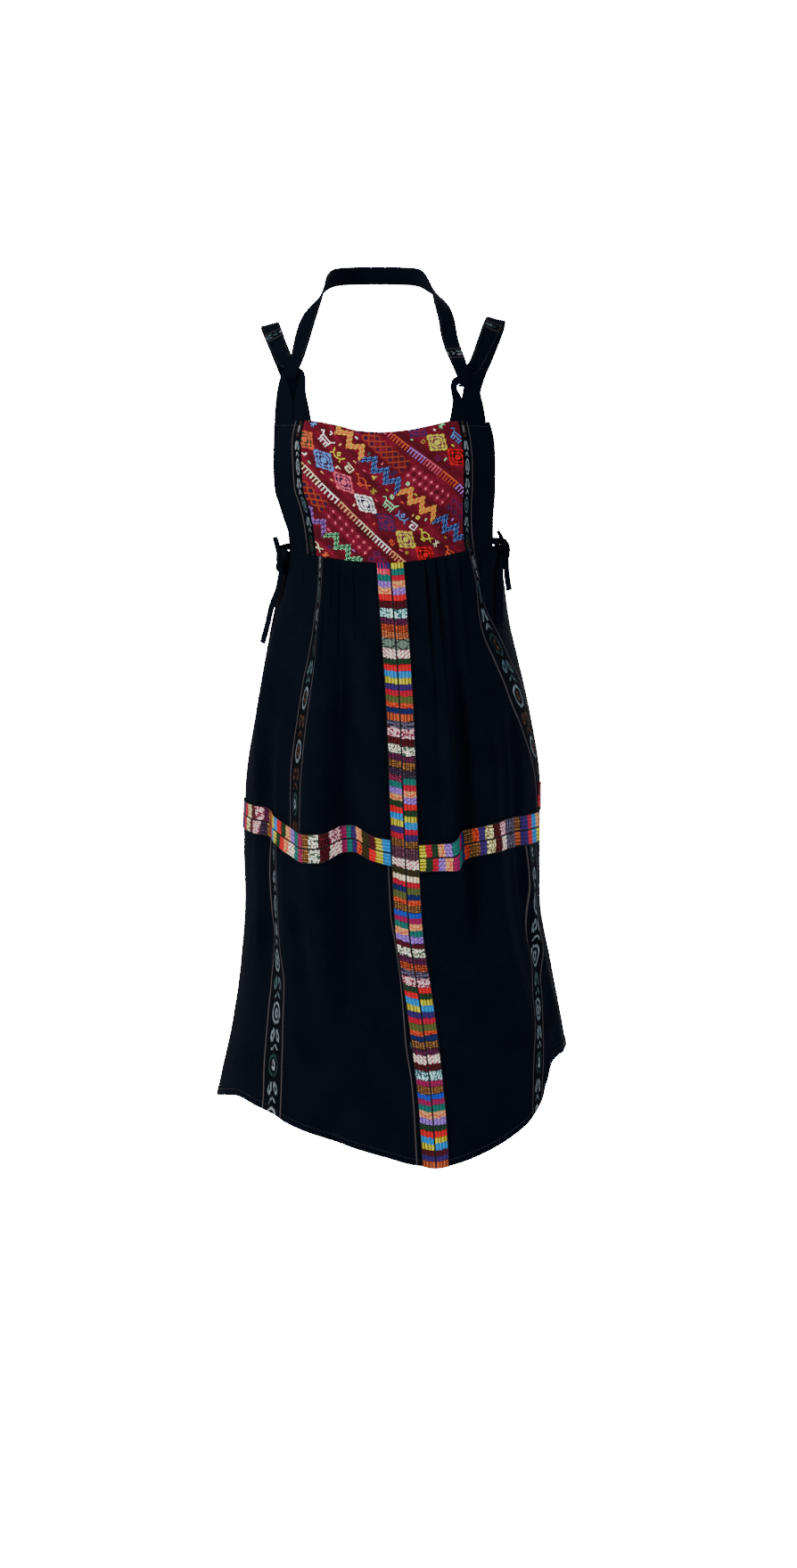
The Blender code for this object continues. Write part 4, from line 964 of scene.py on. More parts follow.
def buildBands():
    clear = cloth["seamGap"] / cloth["bandWidth"] * (bandRight - bandLeft)
    half = cloth["bandWidth"] / 2
    # the band down the front, worked in two halves that meet at a dark middle line
    count, halfCount = bandWork["cells"], bandWork["halfCells"]
    places = [bandLeft + (bandRight - bandLeft) * i / 4 for i in range(5)]
    grid = refine(bandGrid(bandLevels(151), places, front), halfCount * 2, count)
    lengths = clothLengths(grid)
    total = -float(lengths[-1, halfCount, 1])
    left = stripeColours(centreBand["left"], total, count, half, halfCount, 1)
    right = stripeColours(centreBand["right"], total, count, half, halfCount, 2)
    cells = np.concatenate([left[:, ::-1], right], 1)
    item = clothPiece("centre_band_cloth", grid, True, cloth["bandWall"], 1.0, bandThreads, lengths,
                      cells=cells)
    settle(item, "centre_band")
    for node, first, last, side, seam in (("hip_band_front_left", 0.0, bandLeft - clear, front, 1),
                                          ("hip_band_front_right", bandRight + clear, 1.0, front, -1),
                                          ("hip_band_back", 0.0, 1.0, back, 0)):
        levels = [1.0 + i / 6 for i in range(7)]
        steps = int((last - first) * bandWork["hipSteps"])
        places = [first + (last - first) * i / steps for i in range(steps + 1)]
        count = int((last - first) * bandWork["hipCells"])
        grid = refine(bandGrid(levels, places, side), count, halfCount * 2)
        lengths = clothLengths(grid)
        total = float(lengths[halfCount, -1, 0] - lengths[halfCount, 0, 0])
        upper = stripeColours(hipBands[node]["upper"], total, count, half, halfCount, 3, seam)
        lower = stripeColours(hipBands[node]["lower"], total, count, half, halfCount, 4, seam)
        cells = np.concatenate([upper[:, ::-1], lower], 1).transpose(1, 0, 2)
        # the worked rows run along this band, so its cloth coordinates are turned
        turned = np.stack([lengths[:, :, 1], lengths[:, :, 0]], -1)
        item = clothPiece(node + "_cloth", grid, side == front, cloth["bandWall"], 1.0, bandThreads, turned,
                          cells=cells)
        settle(item, node)
    print("bands made")


# the bib

bibEdges = SizeTable("height outer_left inner_left inner_right outer_right", [
    (-116, -123.5, -88, 84, 120.5), (-124, -124.5, -90, 86, 123), (-142, -125, -93, 89, 127),
    (-168, -125.5, -92, 91, 128), (-196, -124, -90, 91, 128), (-212, -119, -85, 90, 127),
    (-228, -114, -81, 90, 126), (-248, -108.5, -78, 91, 126), (-272, -108.5, -76, 95, 125.5),
])
bibTop = SizeTable("across height", [
    (-125, -117), (-89, -118), (-49, -125), (-30, -130.5), (-3, -132.5), (28, -130),
    (54, -124.5), (84, -118.5), (122, -118.5),
])
backBibTop = SizeTable("across height", [(-112, -136), (-86, -136), (0, -150), (86, -136), (112, -136)])
backBibEdges = SizeTable("height outer_left outer_right", [
    (-134, -116, 116), (-165, -116, 118), (-205, -113, 117), (-245, -105, 120), (-268, -102, 120),
])


bibTuck = ((0, 0), (0.6, 1.0), (1.2, 2.6), (6.0, 3.2))  # how far down and in the last rows go
# the bib's narrow ikat stripe: its middle from the brocade, true distances and drawn ones, and
# how its length is stretched and where it starts
bibStripe = {"middle": 4.2, "true": (0, 1.9, 5.6, 60), "drawn": (0, 4.6, 9.0, 63.4), "stretch": 1.4,
             "start": 13}


def bibRows(edges, left, right, top, side, acrossCount, downCount, inset=(0.0, 0.0)):
    # the last rows go in under the skirt's edge, where the bib is sewn
    rows = []
    for down in range(downCount + 4):
        row = []
        under, inward = bibTuck[max(down - downCount, 0)]
        down = min(down, downCount)
        for step in range(acrossCount + 1):
            height = -190.0
            for _ in range(6):
                start, end = edges.at(height, left) + inset[0], edges.at(height, right) - inset[1]
                across = start + (end - start) * step / acrossCount
                share = shareAcross(across, height)
                foot = waistLine.at(share, "height") + cloth["seamGap"]
                head = top.at(across, "height")
                height = head + (foot - head) * down / downCount
            point, outward = ringPoint(share, height, side)
            row.append(point + outward * (handWave(point) * 0.5 - inward) - Vector((0, 0, under)))
        rows.append(row)
    return rows


brocadeTones = {
    "crimson": "86162e", "ground": "741329", "rose": "9a2144", "maroon": "4a0d18", "dark": "26090f",
    "indigo": "221e4c", "purple": "3f2766", "magenta": "80205c", "pink": "d5708c", "lilac": "b38fc6",
    "orange": "cf6c42", "rust": "a34a2e", "peach": "ecb28a", "cream": "f3e0bd", "white": "f4ecec",
    "green": "1c4d33", "mint": "9fd0b6", "sky": "6a9fd0", "olive": "a89a48", "yellow": "e6c24c",
    "red": "c6202c", "teal": "2c7e78",
}
# small figures as lines of thread in mm, drawn at their place in the panel
brocadeLines = {
    "bird": [[(0, 3), (3, 0), (8, 0), (11, 3), (8, 6), (3, 6), (0, 3)], [(0, 3), (-3, 0), (-5, 1.5)],
             [(5, 6), (5, 9), (3, 9)], [(8, 6), (8, 9), (6, 9)], [(11, 3), (15, 0)], [(11, 3), (15, 5)]],
    "beast": [[(0, 0), (12, 0), (12, 3.5), (0, 3.5), (0, 0)], [(1, 3.5), (1, 8)], [(4, 3.5), (4, 8)],
              [(8.5, 3.5), (8.5, 8)], [(11.5, 3.5), (11.5, 8)], [(0, 0), (-3, -3), (-5, -1)],
              [(12, 0), (15, -4)]],
    "key": [[(0, 0), (9, 0), (9, 7), (2.5, 7), (2.5, 3), (6, 3)]],
    "pot": [[(0, 0), (2, 5), (7, 7), (12, 5), (14, 0)], [(2, 5), (0, 8)], [(12, 5), (14, 8)],
            [(5, 2), (7, -1), (9, 2), (7, 4), (5, 2)]],
    "ess": [[(0, 0), (4, 0), (4, 2.6), (0, 2.6), (0, 5.2), (4, 5.2)]],
    "star": [[(0, 0), (5, 5)], [(0, 5), (5, 0)], [(2.5, -1), (2.5, 6)]],
    "tick": [[(0, 0), (3.2, 0)]],
    "angle": [[(0, 0), (4, 0), (4, 4)]],
    "ring": [[(0, 0), (3, 0), (3, 3), (0, 3), (0, 0)]],
    "fork": [[(0, 0), (5, 0)], [(2, 0), (5, 3)], [(2, 0), (5, -3)]],
}
# a generic design: straight rows of repeated figures, woven corner to corner at an even gap
brocadeRows = {
    "gap": 21.0, "turn": 45.0, "reach": 130.0,
    "order": ["figures", "diamond", "comb", "lattice", "zigzag"],
    "diamond": {"pitch": 30.0, "length": 28.0, "width": 20.0,
                "tones": ["white indigo", "orange green", "purple rose", "sky maroon", "yellow magenta",
                          "pink indigo", "red dark"]},
    "lattice": {"pitch": 64.0, "length": 60.0, "width": 17.0,
                "tones": ["rust indigo", "magenta purple", "rose pink"]},
    "zigzag": {"pitch": 55.0, "length": 54.0, "width": 7.0,
               "tones": ["green mint", "indigo sky", "purple lilac", "orange yellow"]},
    "comb": {"pitch": 25.0, "length": 22.5, "width": 6.5,
             "tones": ["cream", "pink", "white", "orange", "peach", "lilac"]},
    "figures": {"pitch": 19.0, "length": 1.0, "width": 1.0,
                "kinds": ["bird", "star", "beast", "pot", "key"],
                "tones": ["mint", "cream", "sky", "orange", "white", "olive", "yellow"]},
}
brocadeChart = {"across": 224, "down": 196, "width": 180.0, "height": 156.0, "thread": 1.25,
                "shadow": 0.8, "shadowTone": 0.55, "clear": 2.6, "fleck": 0.22, "relief": 0.25}
brocadeFill = {  # small figures wherever the ground is still free
    "tries": 900, "seed": 11, "turns": (45, -45, 135, 40, 50), "near": 2.4, "clear": 2.2,
    "kinds": ["ess", "star", "tick", "tick", "angle", "ring", "fork", "tick", "ess"],
    "tones": ["white", "cream", "pink", "peach", "orange", "yellow", "mint", "lilac", "white", "olive",
              "rose", "magenta", "teal", "purple"],
}


def placedFigures():
    # every figure with its place in the panel, row after row; each row starts half a step on
    turn = math.radians(brocadeRows["turn"])
    middleX, middleY = brocadeChart["width"] / 2, brocadeChart["height"] / 2
    count = int(brocadeRows["reach"] / brocadeRows["gap"])
    for row in range(-count, count + 1):
        name = brocadeRows["order"][row % len(brocadeRows["order"])]
        style = brocadeRows[name]
        steps = int(2 * brocadeRows["reach"] / style["pitch"]) + 1
        for step in range(steps):
            along = -brocadeRows["reach"] + (step + 0.5 * (row % 2)) * style["pitch"]
            over = row * brocadeRows["gap"]
            left = middleX + along * math.cos(turn) - over * math.sin(turn)
            top = middleY + along * math.sin(turn) + over * math.cos(turn)
            main, *second = style["tones"][(step * 2 + row) % len(style["tones"])].split()
            kind = style["kinds"][(step + row) % len(style["kinds"])] if name == "figures" else name
            yield kind, left, top, brocadeRows["turn"], style["length"], style["width"], main, second


def areaMask(kind, a, b, length, width):
    # where a filled figure shows its main thread and its second one; a runs along it, b across it
    along = (a > 0) & (a < length)
    if kind == "diamond":
        stepA, stepB = np.floor(np.abs(a - length / 2) / 1.6) * 1.6, np.floor(np.abs(b) / 1.6) * 1.6
        ring = stepA / (length / 2) + stepB / (width / 2)
        return ring < 1, (ring < 1) & ((ring * 5).astype(int) % 2 == 1)
    if kind == "lattice":
        diamond = np.abs((a % 9) - 4.5) + np.abs(((b + 45) % 9) - 4.5)
        inside = along & (np.abs(b) < width / 2)
        return inside & (np.abs(diamond - 4.5) < 0.75), inside & (diamond < 2.0)
    near = np.abs(b - (np.abs((a % 18) / 9 - 1) * 12 - 6))
    here = along & (near < width / 2 * 1.3)
    return here, here & ((near % 2.4) > 1.5)


def threadMask(x, y, kind, left, top, turn, length, width):
    # where the thread of a line figure lies
    if kind == "comb":
        lines = [[(0, 0), (length, 0)]] + [[(t, 0), (t, width)] for t in np.arange(0.5, length, 4.2)]
    else:
        lines = [[(a * length, b * length) for a, b in line] for line in brocadeLines[kind]]
    cosine, sine = math.cos(math.radians(turn)), math.sin(math.radians(turn))
    nearest = np.full(x.shape, 99.0)
    for line in lines:
        line = [(left + a * cosine - b * sine, top + a * sine + b * cosine) for a, b in line]
        for (ax, ay), (bx, by) in zip(line, line[1:]):
            span = (bx - ax) ** 2 + (by - ay) ** 2
            t = np.clip(((x - ax) * (bx - ax) + (y - ay) * (by - ay)) / span, 0, 1)
            nearest = np.minimum(nearest, np.hypot(x - ax - t * (bx - ax), y - ay - t * (by - ay)))
    return nearest


def brocadeColours():
    # the panel's thread chart: a ground with tone-on-tone streaks, then the figures over it, the line
    # figures with a painted shadow round them
    across, down = brocadeChart["across"], brocadeChart["down"]
    half = brocadeChart["thread"] / 2
    x, y = np.meshgrid((np.arange(across) + 0.5) * brocadeChart["width"] / across,
                       (np.arange(down) + 0.5) * brocadeChart["height"] / down)
    streak = np.array([[noise.noise(Vector(((i + j) * 0.02, (i - j) * 0.07, 2.0))) for i in range(across)]
                       for j in range(down)])
    fleck = np.array([[noise.noise(Vector((i * 0.8, j * 0.8, 5.0))) for i in range(across)]
                      for j in range(down)])
    tones = {name: threadTone(text) for name, text in brocadeTones.items()}
    chart = np.zeros((down, across, 3)) + tones["ground"]
    chart[streak > 0.08] = tones["crimson"]
    chart[(streak > 0.26) & (((x + y) % 3.0) < 1.1)] = tones["rose"]
    chart[(streak < -0.24) & (((x - y) % 3.2) < 1.5)] = tones["maroon"]
    lift = np.zeros((down, across))
    taken = np.zeros((down, across), bool)
    for kind, left, top, turn, length, width, main, second in placedFigures():
        if second:
            cosine, sine = math.cos(math.radians(turn)), math.sin(math.radians(turn))
            a = (x - left) * cosine + (y - top) * sine
            b = -(x - left) * sine + (y - top) * cosine
            mainHere, secondHere = areaMask(kind, a, b, length, width)
            chart[mainHere] = tones[main]
            chart[secondHere] = tones[second[0]]
            taken |= mainHere | secondHere
        else:
            nearest = threadMask(x, y, kind, left, top, turn, length, width)
            mainHere = nearest < half
            # painted shadow: the ground in a narrow ring round each line figure's thread is darkened
            chart[(nearest < half + brocadeChart["shadow"]) & ~mainHere] *= brocadeChart["shadowTone"]
            chart[mainHere] = tones[main]
            secondHere = mainHere
            taken |= nearest < brocadeChart["clear"]
        lift[mainHere | secondHere] = 1.0
    chance = random.Random(brocadeFill["seed"])
    for _ in range(brocadeFill["tries"]):
        column, row = chance.randrange(4, across - 14), chance.randrange(4, down - 14)
        patch = (slice(max(row - 9, 0), row + 10), slice(max(column - 9, 0), column + 10))
        kind, tone = chance.choice(brocadeFill["kinds"]), chance.choice(brocadeFill["tones"])
        nearest = threadMask(x[patch], y[patch], kind, x[row, column], y[row, column],
                             chance.choice(brocadeFill["turns"]), chance.uniform(0.7, 1.15), 1)
        if (taken[patch] & (nearest < brocadeFill["near"])).any():
            continue
        chart[patch][nearest < half] = tones[tone]
        lift[patch][nearest < half] = 1.0
        taken[patch] |= nearest < brocadeFill["clear"]
    chart *= (1 + brocadeChart["fleck"] * fleck)[:, :, None]
    return chart, lift


def buildBib():
    half = cloth["seamGap"] / 2
    across, down = brocadeChart["across"], brocadeChart["down"]
    rows = bibRows(bibEdges, "inner_left", "inner_right", bibTop, front, 48, 40, (half, half))
    grid = np.concatenate([refine(rows[:41], across, down - 3), refine(rows[40:], across, 3)[1:]])
    chart, lift = brocadeColours()
    # the brocading threads stand a little above the ground
    padded = np.pad(lift, 1, mode="edge")
    high = (padded[:-1, :-1] + padded[1:, :-1] + padded[:-1, 1:] + padded[1:, 1:]) / 4
    lengths = clothLengths(grid)
    outward = np.cross(np.gradient(grid, axis=1), np.gradient(grid, axis=0))
    outward /= -np.linalg.norm(outward, axis=2, keepdims=True)
    if outward[0, across // 2, 1] > 0:
        outward = -outward
    grid = grid + outward * (high * brocadeChart["relief"])[:, :, None]
    item = clothPiece("bib_brocade_cloth", grid, True, cloth["bibWall"], -1.0, brocadeThreads, lengths,
                      cells=chart)
    settle(item, "bib_brocade", sharp=70)
    for node, left, right, inset in (("bib_side_left", "outer_left", "inner_left", (0.0, half)),
                                     ("bib_side_right", "inner_right", "outer_right", (half, 0.0))):
        rows = bibRows(bibEdges, left, right, bibTop, front, 14, 50, inset)
        grid = refine(rows, 44, 53)
        lengths = clothLengths(grid)
        # the ikat stripe lies along the brocade
        inner, turn = (grid[:, -1:, 0], 1) if node == "bib_side_left" else (grid[:, :1, 0], -1)
        away = grid[:, :, 0] - inner + turn * bibStripe["middle"]
        away = np.sign(away) * np.interp(np.abs(away), bibStripe["true"], bibStripe["drawn"])
        stripe = np.stack([away, grid[:, :, 2] * -bibStripe["stretch"] + bibStripe["start"]], -1)
        item = clothPiece(node + "_cloth", grid, True, cloth["bibWall"], -1.0, indigo, lengths, stripe)
        settle(item, node)
    rows = bibRows(backBibEdges, "outer_left", "outer_right", backBibTop, back, 60, 40)
    grid = refine(rows, 60, 43)
    item = clothPiece("bib_back_cloth", grid, False, cloth["bibWall"], -1.0, indigo, clothLengths(grid))
    settle(item, "bib_back")
    print("bib made")


# loops, straps and ties

leftLoop = [
    (-124.0, -116.3, -102.3, -117.0), (-122.5, -96.0, -102.7, -101.0), (-120.5, -81.0, -105.7, -85.0),
    (-117.5, -68.0, -110.0, -71.0), (-113.0, -59.5, -108.5, -66.8), (-103.0, -57.0, -102.7, -66.0),
    (-92.0, -59.5, -97.0, -66.8), (-88.0, -69.0, -95.5, -71.0), (-87.5, -85.0, -98.5, -85.0),
    (-85.0, -97.0, -101.2, -101.0), (-81.0, -117.6, -101.5, -117.0),
]
rightLoop = [
    (117.0, -117.6, 96.0, -117.6), (114.0, -100.0, 95.8, -104.0), (111.5, -90.0, 96.6, -92.0),
    (109.5, -78.0, 97.6, -82.0), (104.5, -69.5, 96.6, -77.6), (92.0, -67.0, 91.0, -76.6),
    (80.5, -69.5, 84.8, -77.6), (76.5, -77.0, 83.6, -82.0), (77.0, -87.0, 88.0, -90.0),
    (78.5, -98.0, 92.7, -103.0), (75.0, -118.6, 95.2, -117.6),
]
turns = {
    "left": {"x": -102.7, "z": -66.6, "way": (-0.50, -0.85, 0.15), "width": 12.2, "slant": -0.38},
    "right": {"x": 91.0, "z": -77.3, "way": (0.42, -0.89, 0.15), "width": 11.4, "slant": 0.42},
}
leftStrap = [  # x, y, z, the way the face looks, width
    (-108.5, -53.5, -52, -0.50, -0.80, 0.32, 17), (-115, -47.0, -44, -0.50, -0.75, 0.42, 20),
    (-124, -32.0, -22, -0.42, -0.65, 0.64, 22), (-130, -13.0, -6.5, -0.30, -0.40, 0.87, 22),
    (-132, 4.0, -3, -0.25, 0.05, 0.97, 22), (-130, 24.0, -10, -0.25, 0.50, 0.83, 22),
    (-121, 44.0, -32, -0.25, 0.80, 0.55, 22), (-107.5, 57.0, -68, -0.30, 0.93, 0.20, 22),
    (-101, 63.5, -104, -0.38, 0.92, 0.05, 22), (-100, 66.4, -134.6, -0.38, 0.92, 0.05, 22),
]
rightStrap = [
    (98.5, -59.5, -61, 0.46, -0.82, 0.32, 15), (106, -52.0, -52, 0.50, -0.76, 0.40, 17),
    (118, -34.5, -25, 0.45, -0.66, 0.60, 21), (127, -13.0, -2.5, 0.30, -0.40, 0.87, 22),
    (131, 3.0, 3.5, 0.25, 0.05, 0.97, 22), (130, 23.0, -5, 0.25, 0.50, 0.83, 22),
    (121, 44.0, -29, 0.25, 0.80, 0.55, 22), (106, 57.0, -67, 0.30, 0.93, 0.20, 22),
    (101, 63.5, -104, 0.38, 0.92, 0.05, 22), (100, 66.4, -134.6, 0.38, 0.92, 0.05, 22),
]
neckStrap = [
    (-101.5, -67.6, -58, -0.47, -0.86, 0.20, 16), (-97, -64.5, -45, -0.45, -0.85, 0.30, 18),
    (-90.7, -53.5, -19, -0.48, -0.78, 0.38, 22), (-86.3, -43.5, -3, -0.50, -0.78, 0.35, 22),
    (-80.3, -31.0, 13, -0.66, -0.68, 0.30, 22), (-71.5, -12.0, 31, -0.90, -0.35, 0.25, 21),
    (-66.5, 14.0, 46, -0.98, 0.10, 0.20, 21), (-56, 45.0, 56, -0.72, 0.68, 0.15, 21),
    (-34, 64.0, 60, -0.35, 0.93, 0.10, 21), (-8, 70.0, 61, 0.00, 1.00, 0.10, 21),
    (18, 64.0, 60, 0.35, 0.93, 0.10, 21), (40, 45.0, 56, 0.72, 0.68, 0.15, 21),
    (50.5, 14.0, 46, 0.98, 0.10, 0.20, 21), (61.5, -13.0, 31, 0.78, -0.55, 0.25, 22),
    (68.5, -31.0, 13, 0.52, -0.80, 0.30, 22), (72.7, -43.5, -3, 0.46, -0.82, 0.35, 22),
    (75, -52.0, -19, 0.46, -0.80, 0.38, 22), (79, -59.0, -34, 0.45, -0.82, 0.33, 22),
    (85, -67.0, -50, 0.42, -0.86, 0.28, 20), (89.5, -74.0, -66, 0.40, -0.89, 0.20, 15),
]
strapMake = {
    "steps": 9, "columns": 12, "foldRadius": 2.1, "foldParting": 0.8, "foldReach": 28.0,
    "barHeight": 10.0, "foldSteps": 16, "stitchIn": 2.2, "stretch": 1.5,
}
# where an ikat stripe of the cloth crosses a strap, seen from the front (x, z), and which
# stretch of the stripe it is
strapMarks = {"shoulder_strap_left": (-125.7, -18.9, 391), "shoulder_strap_right": (126.3, -6.8, 541),
              "neck_strap": (81.8, -40.0, 691)}


def smoothRows(rows, steps):
    # points on one smooth curve through the rows, with every column carried along
    result = []
    for index in range(len(rows) - 1):
        before, start, end = rows[max(index - 1, 0)], rows[index], rows[index + 1]
        after = rows[min(index + 2, len(rows) - 1)]
        for step in range(steps):
            t = step / steps
            result.append(tuple(
                0.5 * (2 * b + (c - a) * t + (2 * a - 5 * b + 4 * c - d) * t**2
                       + (3 * b - a - 3 * c + d) * t**3)
                for a, b, c, d in zip(before, start, end, after)))
    result.append(tuple(rows[-1]))
    return result


def chestDepth(across, height):
    return ringPoint(shareAcross(across, height), height, front)[0].y


def turnMiddle(turn):
    return Vector((turn["x"], chestDepth(turn["x"], turn["z"]), turn["z"]))


def turnWay(turn):
    return Vector((turn["way"][0], turn["way"][1], 0.0)).normalized()


def ribbonSections(rows, folds=()):
    # sections (edge, other edge, way out) of a ribbon; near a fold they keep to the loop's bar
    sections = []
    for index, row in enumerate(rows):
        middle = Vector(row[0:3])
        way = Vector(row[3:6]).normalized()
        ahead = Vector(rows[min(index + 1, len(rows) - 1)][0:3])
        behind = Vector(rows[max(index - 1, 0)][0:3])
        along = (ahead - behind).normalized()
        side = along.cross(way).normalized()
        for fold in folds:
            bar = turnWay(fold).cross(Vector((0, 0, 1)))
            if bar.dot(side) < 0:
                bar = -bar
            near = 1 - ease((middle - turnMiddle(fold)).length / strapMake["foldReach"])
            side = side.lerp(bar, near).normalized()
        way = side.cross(along).normalized()
        sections.append((middle - side * row[6] / 2, middle + side * row[6] / 2, way))
    return sections


def ribbonPiece(name, sections, wall, node, columns=None, mark=None):
    # a flat tube of folded cloth: rounded folded edges, a slightly dipped middle
    columns = columns or strapMake["columns"]
    rings, places, reach = [], [], 0.0
    before = None
    for edge, other, way in sections:
        middle = (edge + other) / 2
        if before is not None:
            reach += (middle - before).length
        before = middle
        places.append(reach)
        ring = []
        for turn in (1, -1):
            for step in range(columns + 1):
                share = step / columns if turn == 1 else 1 - step / columns
                toEdge = min(share, 1 - share)
                half = wall / 2 * (0.45 + 0.55 * math.sin(math.pi / 2 * min(toEdge * 9, 1.0)))
                half *= 1.08 - 0.16 * math.sin(math.pi * share)
                point = edge.lerp(other, share)
                wave = 0.12 * noise.noise(point * 0.12) + 0.25 * noise.noise(point * 0.035)
                ring.append((point + way * (half * turn + wave), share))
        rings.append(ring)
    count = len(rings[0])
    points = [tuple(point * mm) for ring in rings for point, _share in ring]
    faces = []
    for row in range(len(rings) - 1):
        for i in range(count):
            a, b = row * count + i, row * count + (i + 1) % count
            faces.append((a, b, b + count, a + count))
    last = (len(rings) - 1) * count
    for base, turned in ((0, True), (last, False)):
        for i in range(columns):
            quad = (base + i, base + i + 1, base + count - 2 - i, base + count - 1 - i)
            faces.append(quad[::-1] if turned else quad)
    mesh = bpy.data.meshes.new(name)
    mesh.from_pydata(points, [], faces)
    markAt = None
    if mark:
        distances = [math.hypot((s[0].x + s[1].x) / 2 - mark[0], (s[0].z + s[1].z) / 2 - mark[1])
                     + (100 if (s[0].y + s[1].y) / 2 > 0 else 0) for s in sections]
        markAt = places[distances.index(min(distances))]
    for layerName in ("weave", "ikat"):
        layer = mesh.uv_layers.new(name=layerName)
        for loop in mesh.loops:
            row, i = divmod(loop.vertex_index, count)
            edge, other, _way = sections[row]
            across = rings[row][i][1] * (other - edge).length
            if layerName == "weave":
                value = (across, places[row])
            elif markAt is None:
                value = noStripe
            else:
                past = (places[row] - markAt) * strapMake["stretch"]
                value = (max(min(past, ikatReach), -ikatReach), across * strapMake["stretch"] + mark[2])
            layer.data[loop.index].uv = (value[0] * mm, value[1] * mm)
    clean = bmesh.new()
    clean.from_mesh(mesh)
    bmesh.ops.recalc_face_normals(clean, faces=clean.faces)
    clean.to_mesh(mesh)
    clean.free()
    mesh.materials.append(indigo)
    return settle(placeObject(name, mesh), node, sharp=60)


def edgeRuns(sections, wall, inward):
    # the two lines of stitches near a ribbon's edges, on its outer face
    runs = []
    for first, second in ((0, 1), (1, 0)):
        run = []
        for section in sections:
            across = (section[second] - section[first]).normalized()
            run.append(section[first] + across * inward + section[2] * (wall / 2 + 0.02))
        runs.append(run)
    return runs


def foldRows(turn):
    rows = []
    for step in range(strapMake["foldSteps"] + 1):
        angle = math.pi * step / strapMake["foldSteps"]
        outward = -turnWay(turn) * math.cos(angle) - Vector((0, 0, 1)) * math.sin(angle)
        rows.append((*(turnMiddle(turn) + outward * strapMake["foldRadius"]), *outward, turn["width"]))
    return rows


def shoulderRows(turn, rows):
    behind = []
    for rise in (strapMake["foldParting"], strapMake["barHeight"] / 2, strapMake["barHeight"]):
        across, height = turn["x"] + turn["slant"] * rise, turn["z"] + rise
        place = Vector((across, chestDepth(across, height), height))
        place = place - turnWay(turn) * strapMake["foldRadius"]
        behind.append((*place, *turn["way"], turn["width"]))
    return smoothRows(behind + rows, strapMake["steps"])


def buildStraps():
    wall = cloth["strapWall"]
    for node, turn, rows in (("shoulder_strap_left", turns["left"], leftStrap),
                             ("shoulder_strap_right", turns["right"], rightStrap)):
        sections = ribbonSections(shoulderRows(turn, rows), (turn,))
        ribbonPiece(node + "_cloth", sections, wall, node, mark=strapMarks[node])
        runs = edgeRuns(sections[strapMake["steps"] * 3:], wall, strapMake["stitchIn"])
        stitchRun(node + "_stitches", runs)
    leftTurn, rightTurn = foldRows(turns["left"]), list(reversed(foldRows(turns["right"])))
    run = smoothRows([leftTurn[-1]] + neckStrap + [rightTurn[0]], strapMake["steps"])
    sections = ribbonSections(leftTurn + run[1:-1] + rightTurn, (turns["left"], turns["right"]))
    ribbonPiece("neck_strap_cloth", sections, wall, "neck_strap", mark=strapMarks["neck_strap"])
    skip = strapMake["foldSteps"] + strapMake["steps"] * 2
    stitchRun("neck_strap_stitches", edgeRuns(sections[skip:-skip], wall, strapMake["stitchIn"]))
    for node, rows in (("bib_loop_left", leftLoop), ("bib_loop_right", rightLoop)):
        sections = []
        for outerX, outerZ, innerX, innerZ in smoothRows(rows, 10):
            outer = Vector((outerX, chestDepth(outerX, outerZ), outerZ))
            inner = Vector((innerX, chestDepth(innerX, innerZ), innerZ))
            x, z = (outerX + innerX) / 2, (outerZ + innerZ) / 2
            sections.append((outer, inner, ringPoint(shareAcross(x, z), z, front)[1]))
        # both ends go on down behind the bib, where they are sewn
        for at, order in ((0, -1), (len(sections), 1)):
            outer, inner, way = sections[0] if at == 0 else sections[-1]
            ends = []
            for drop, inward in ((1.5, 0.4), (4.0, 1.9), (12.0, 2.2)):
                shiftDown = Vector((0, 0, -drop)) - way * inward
                ends.append((outer + shiftDown, inner + shiftDown, way))
            sections = ends[::-1] + sections if at == 0 else sections + ends
        ribbonPiece(node + "_cloth", sections, wall, node)
    print("straps made")


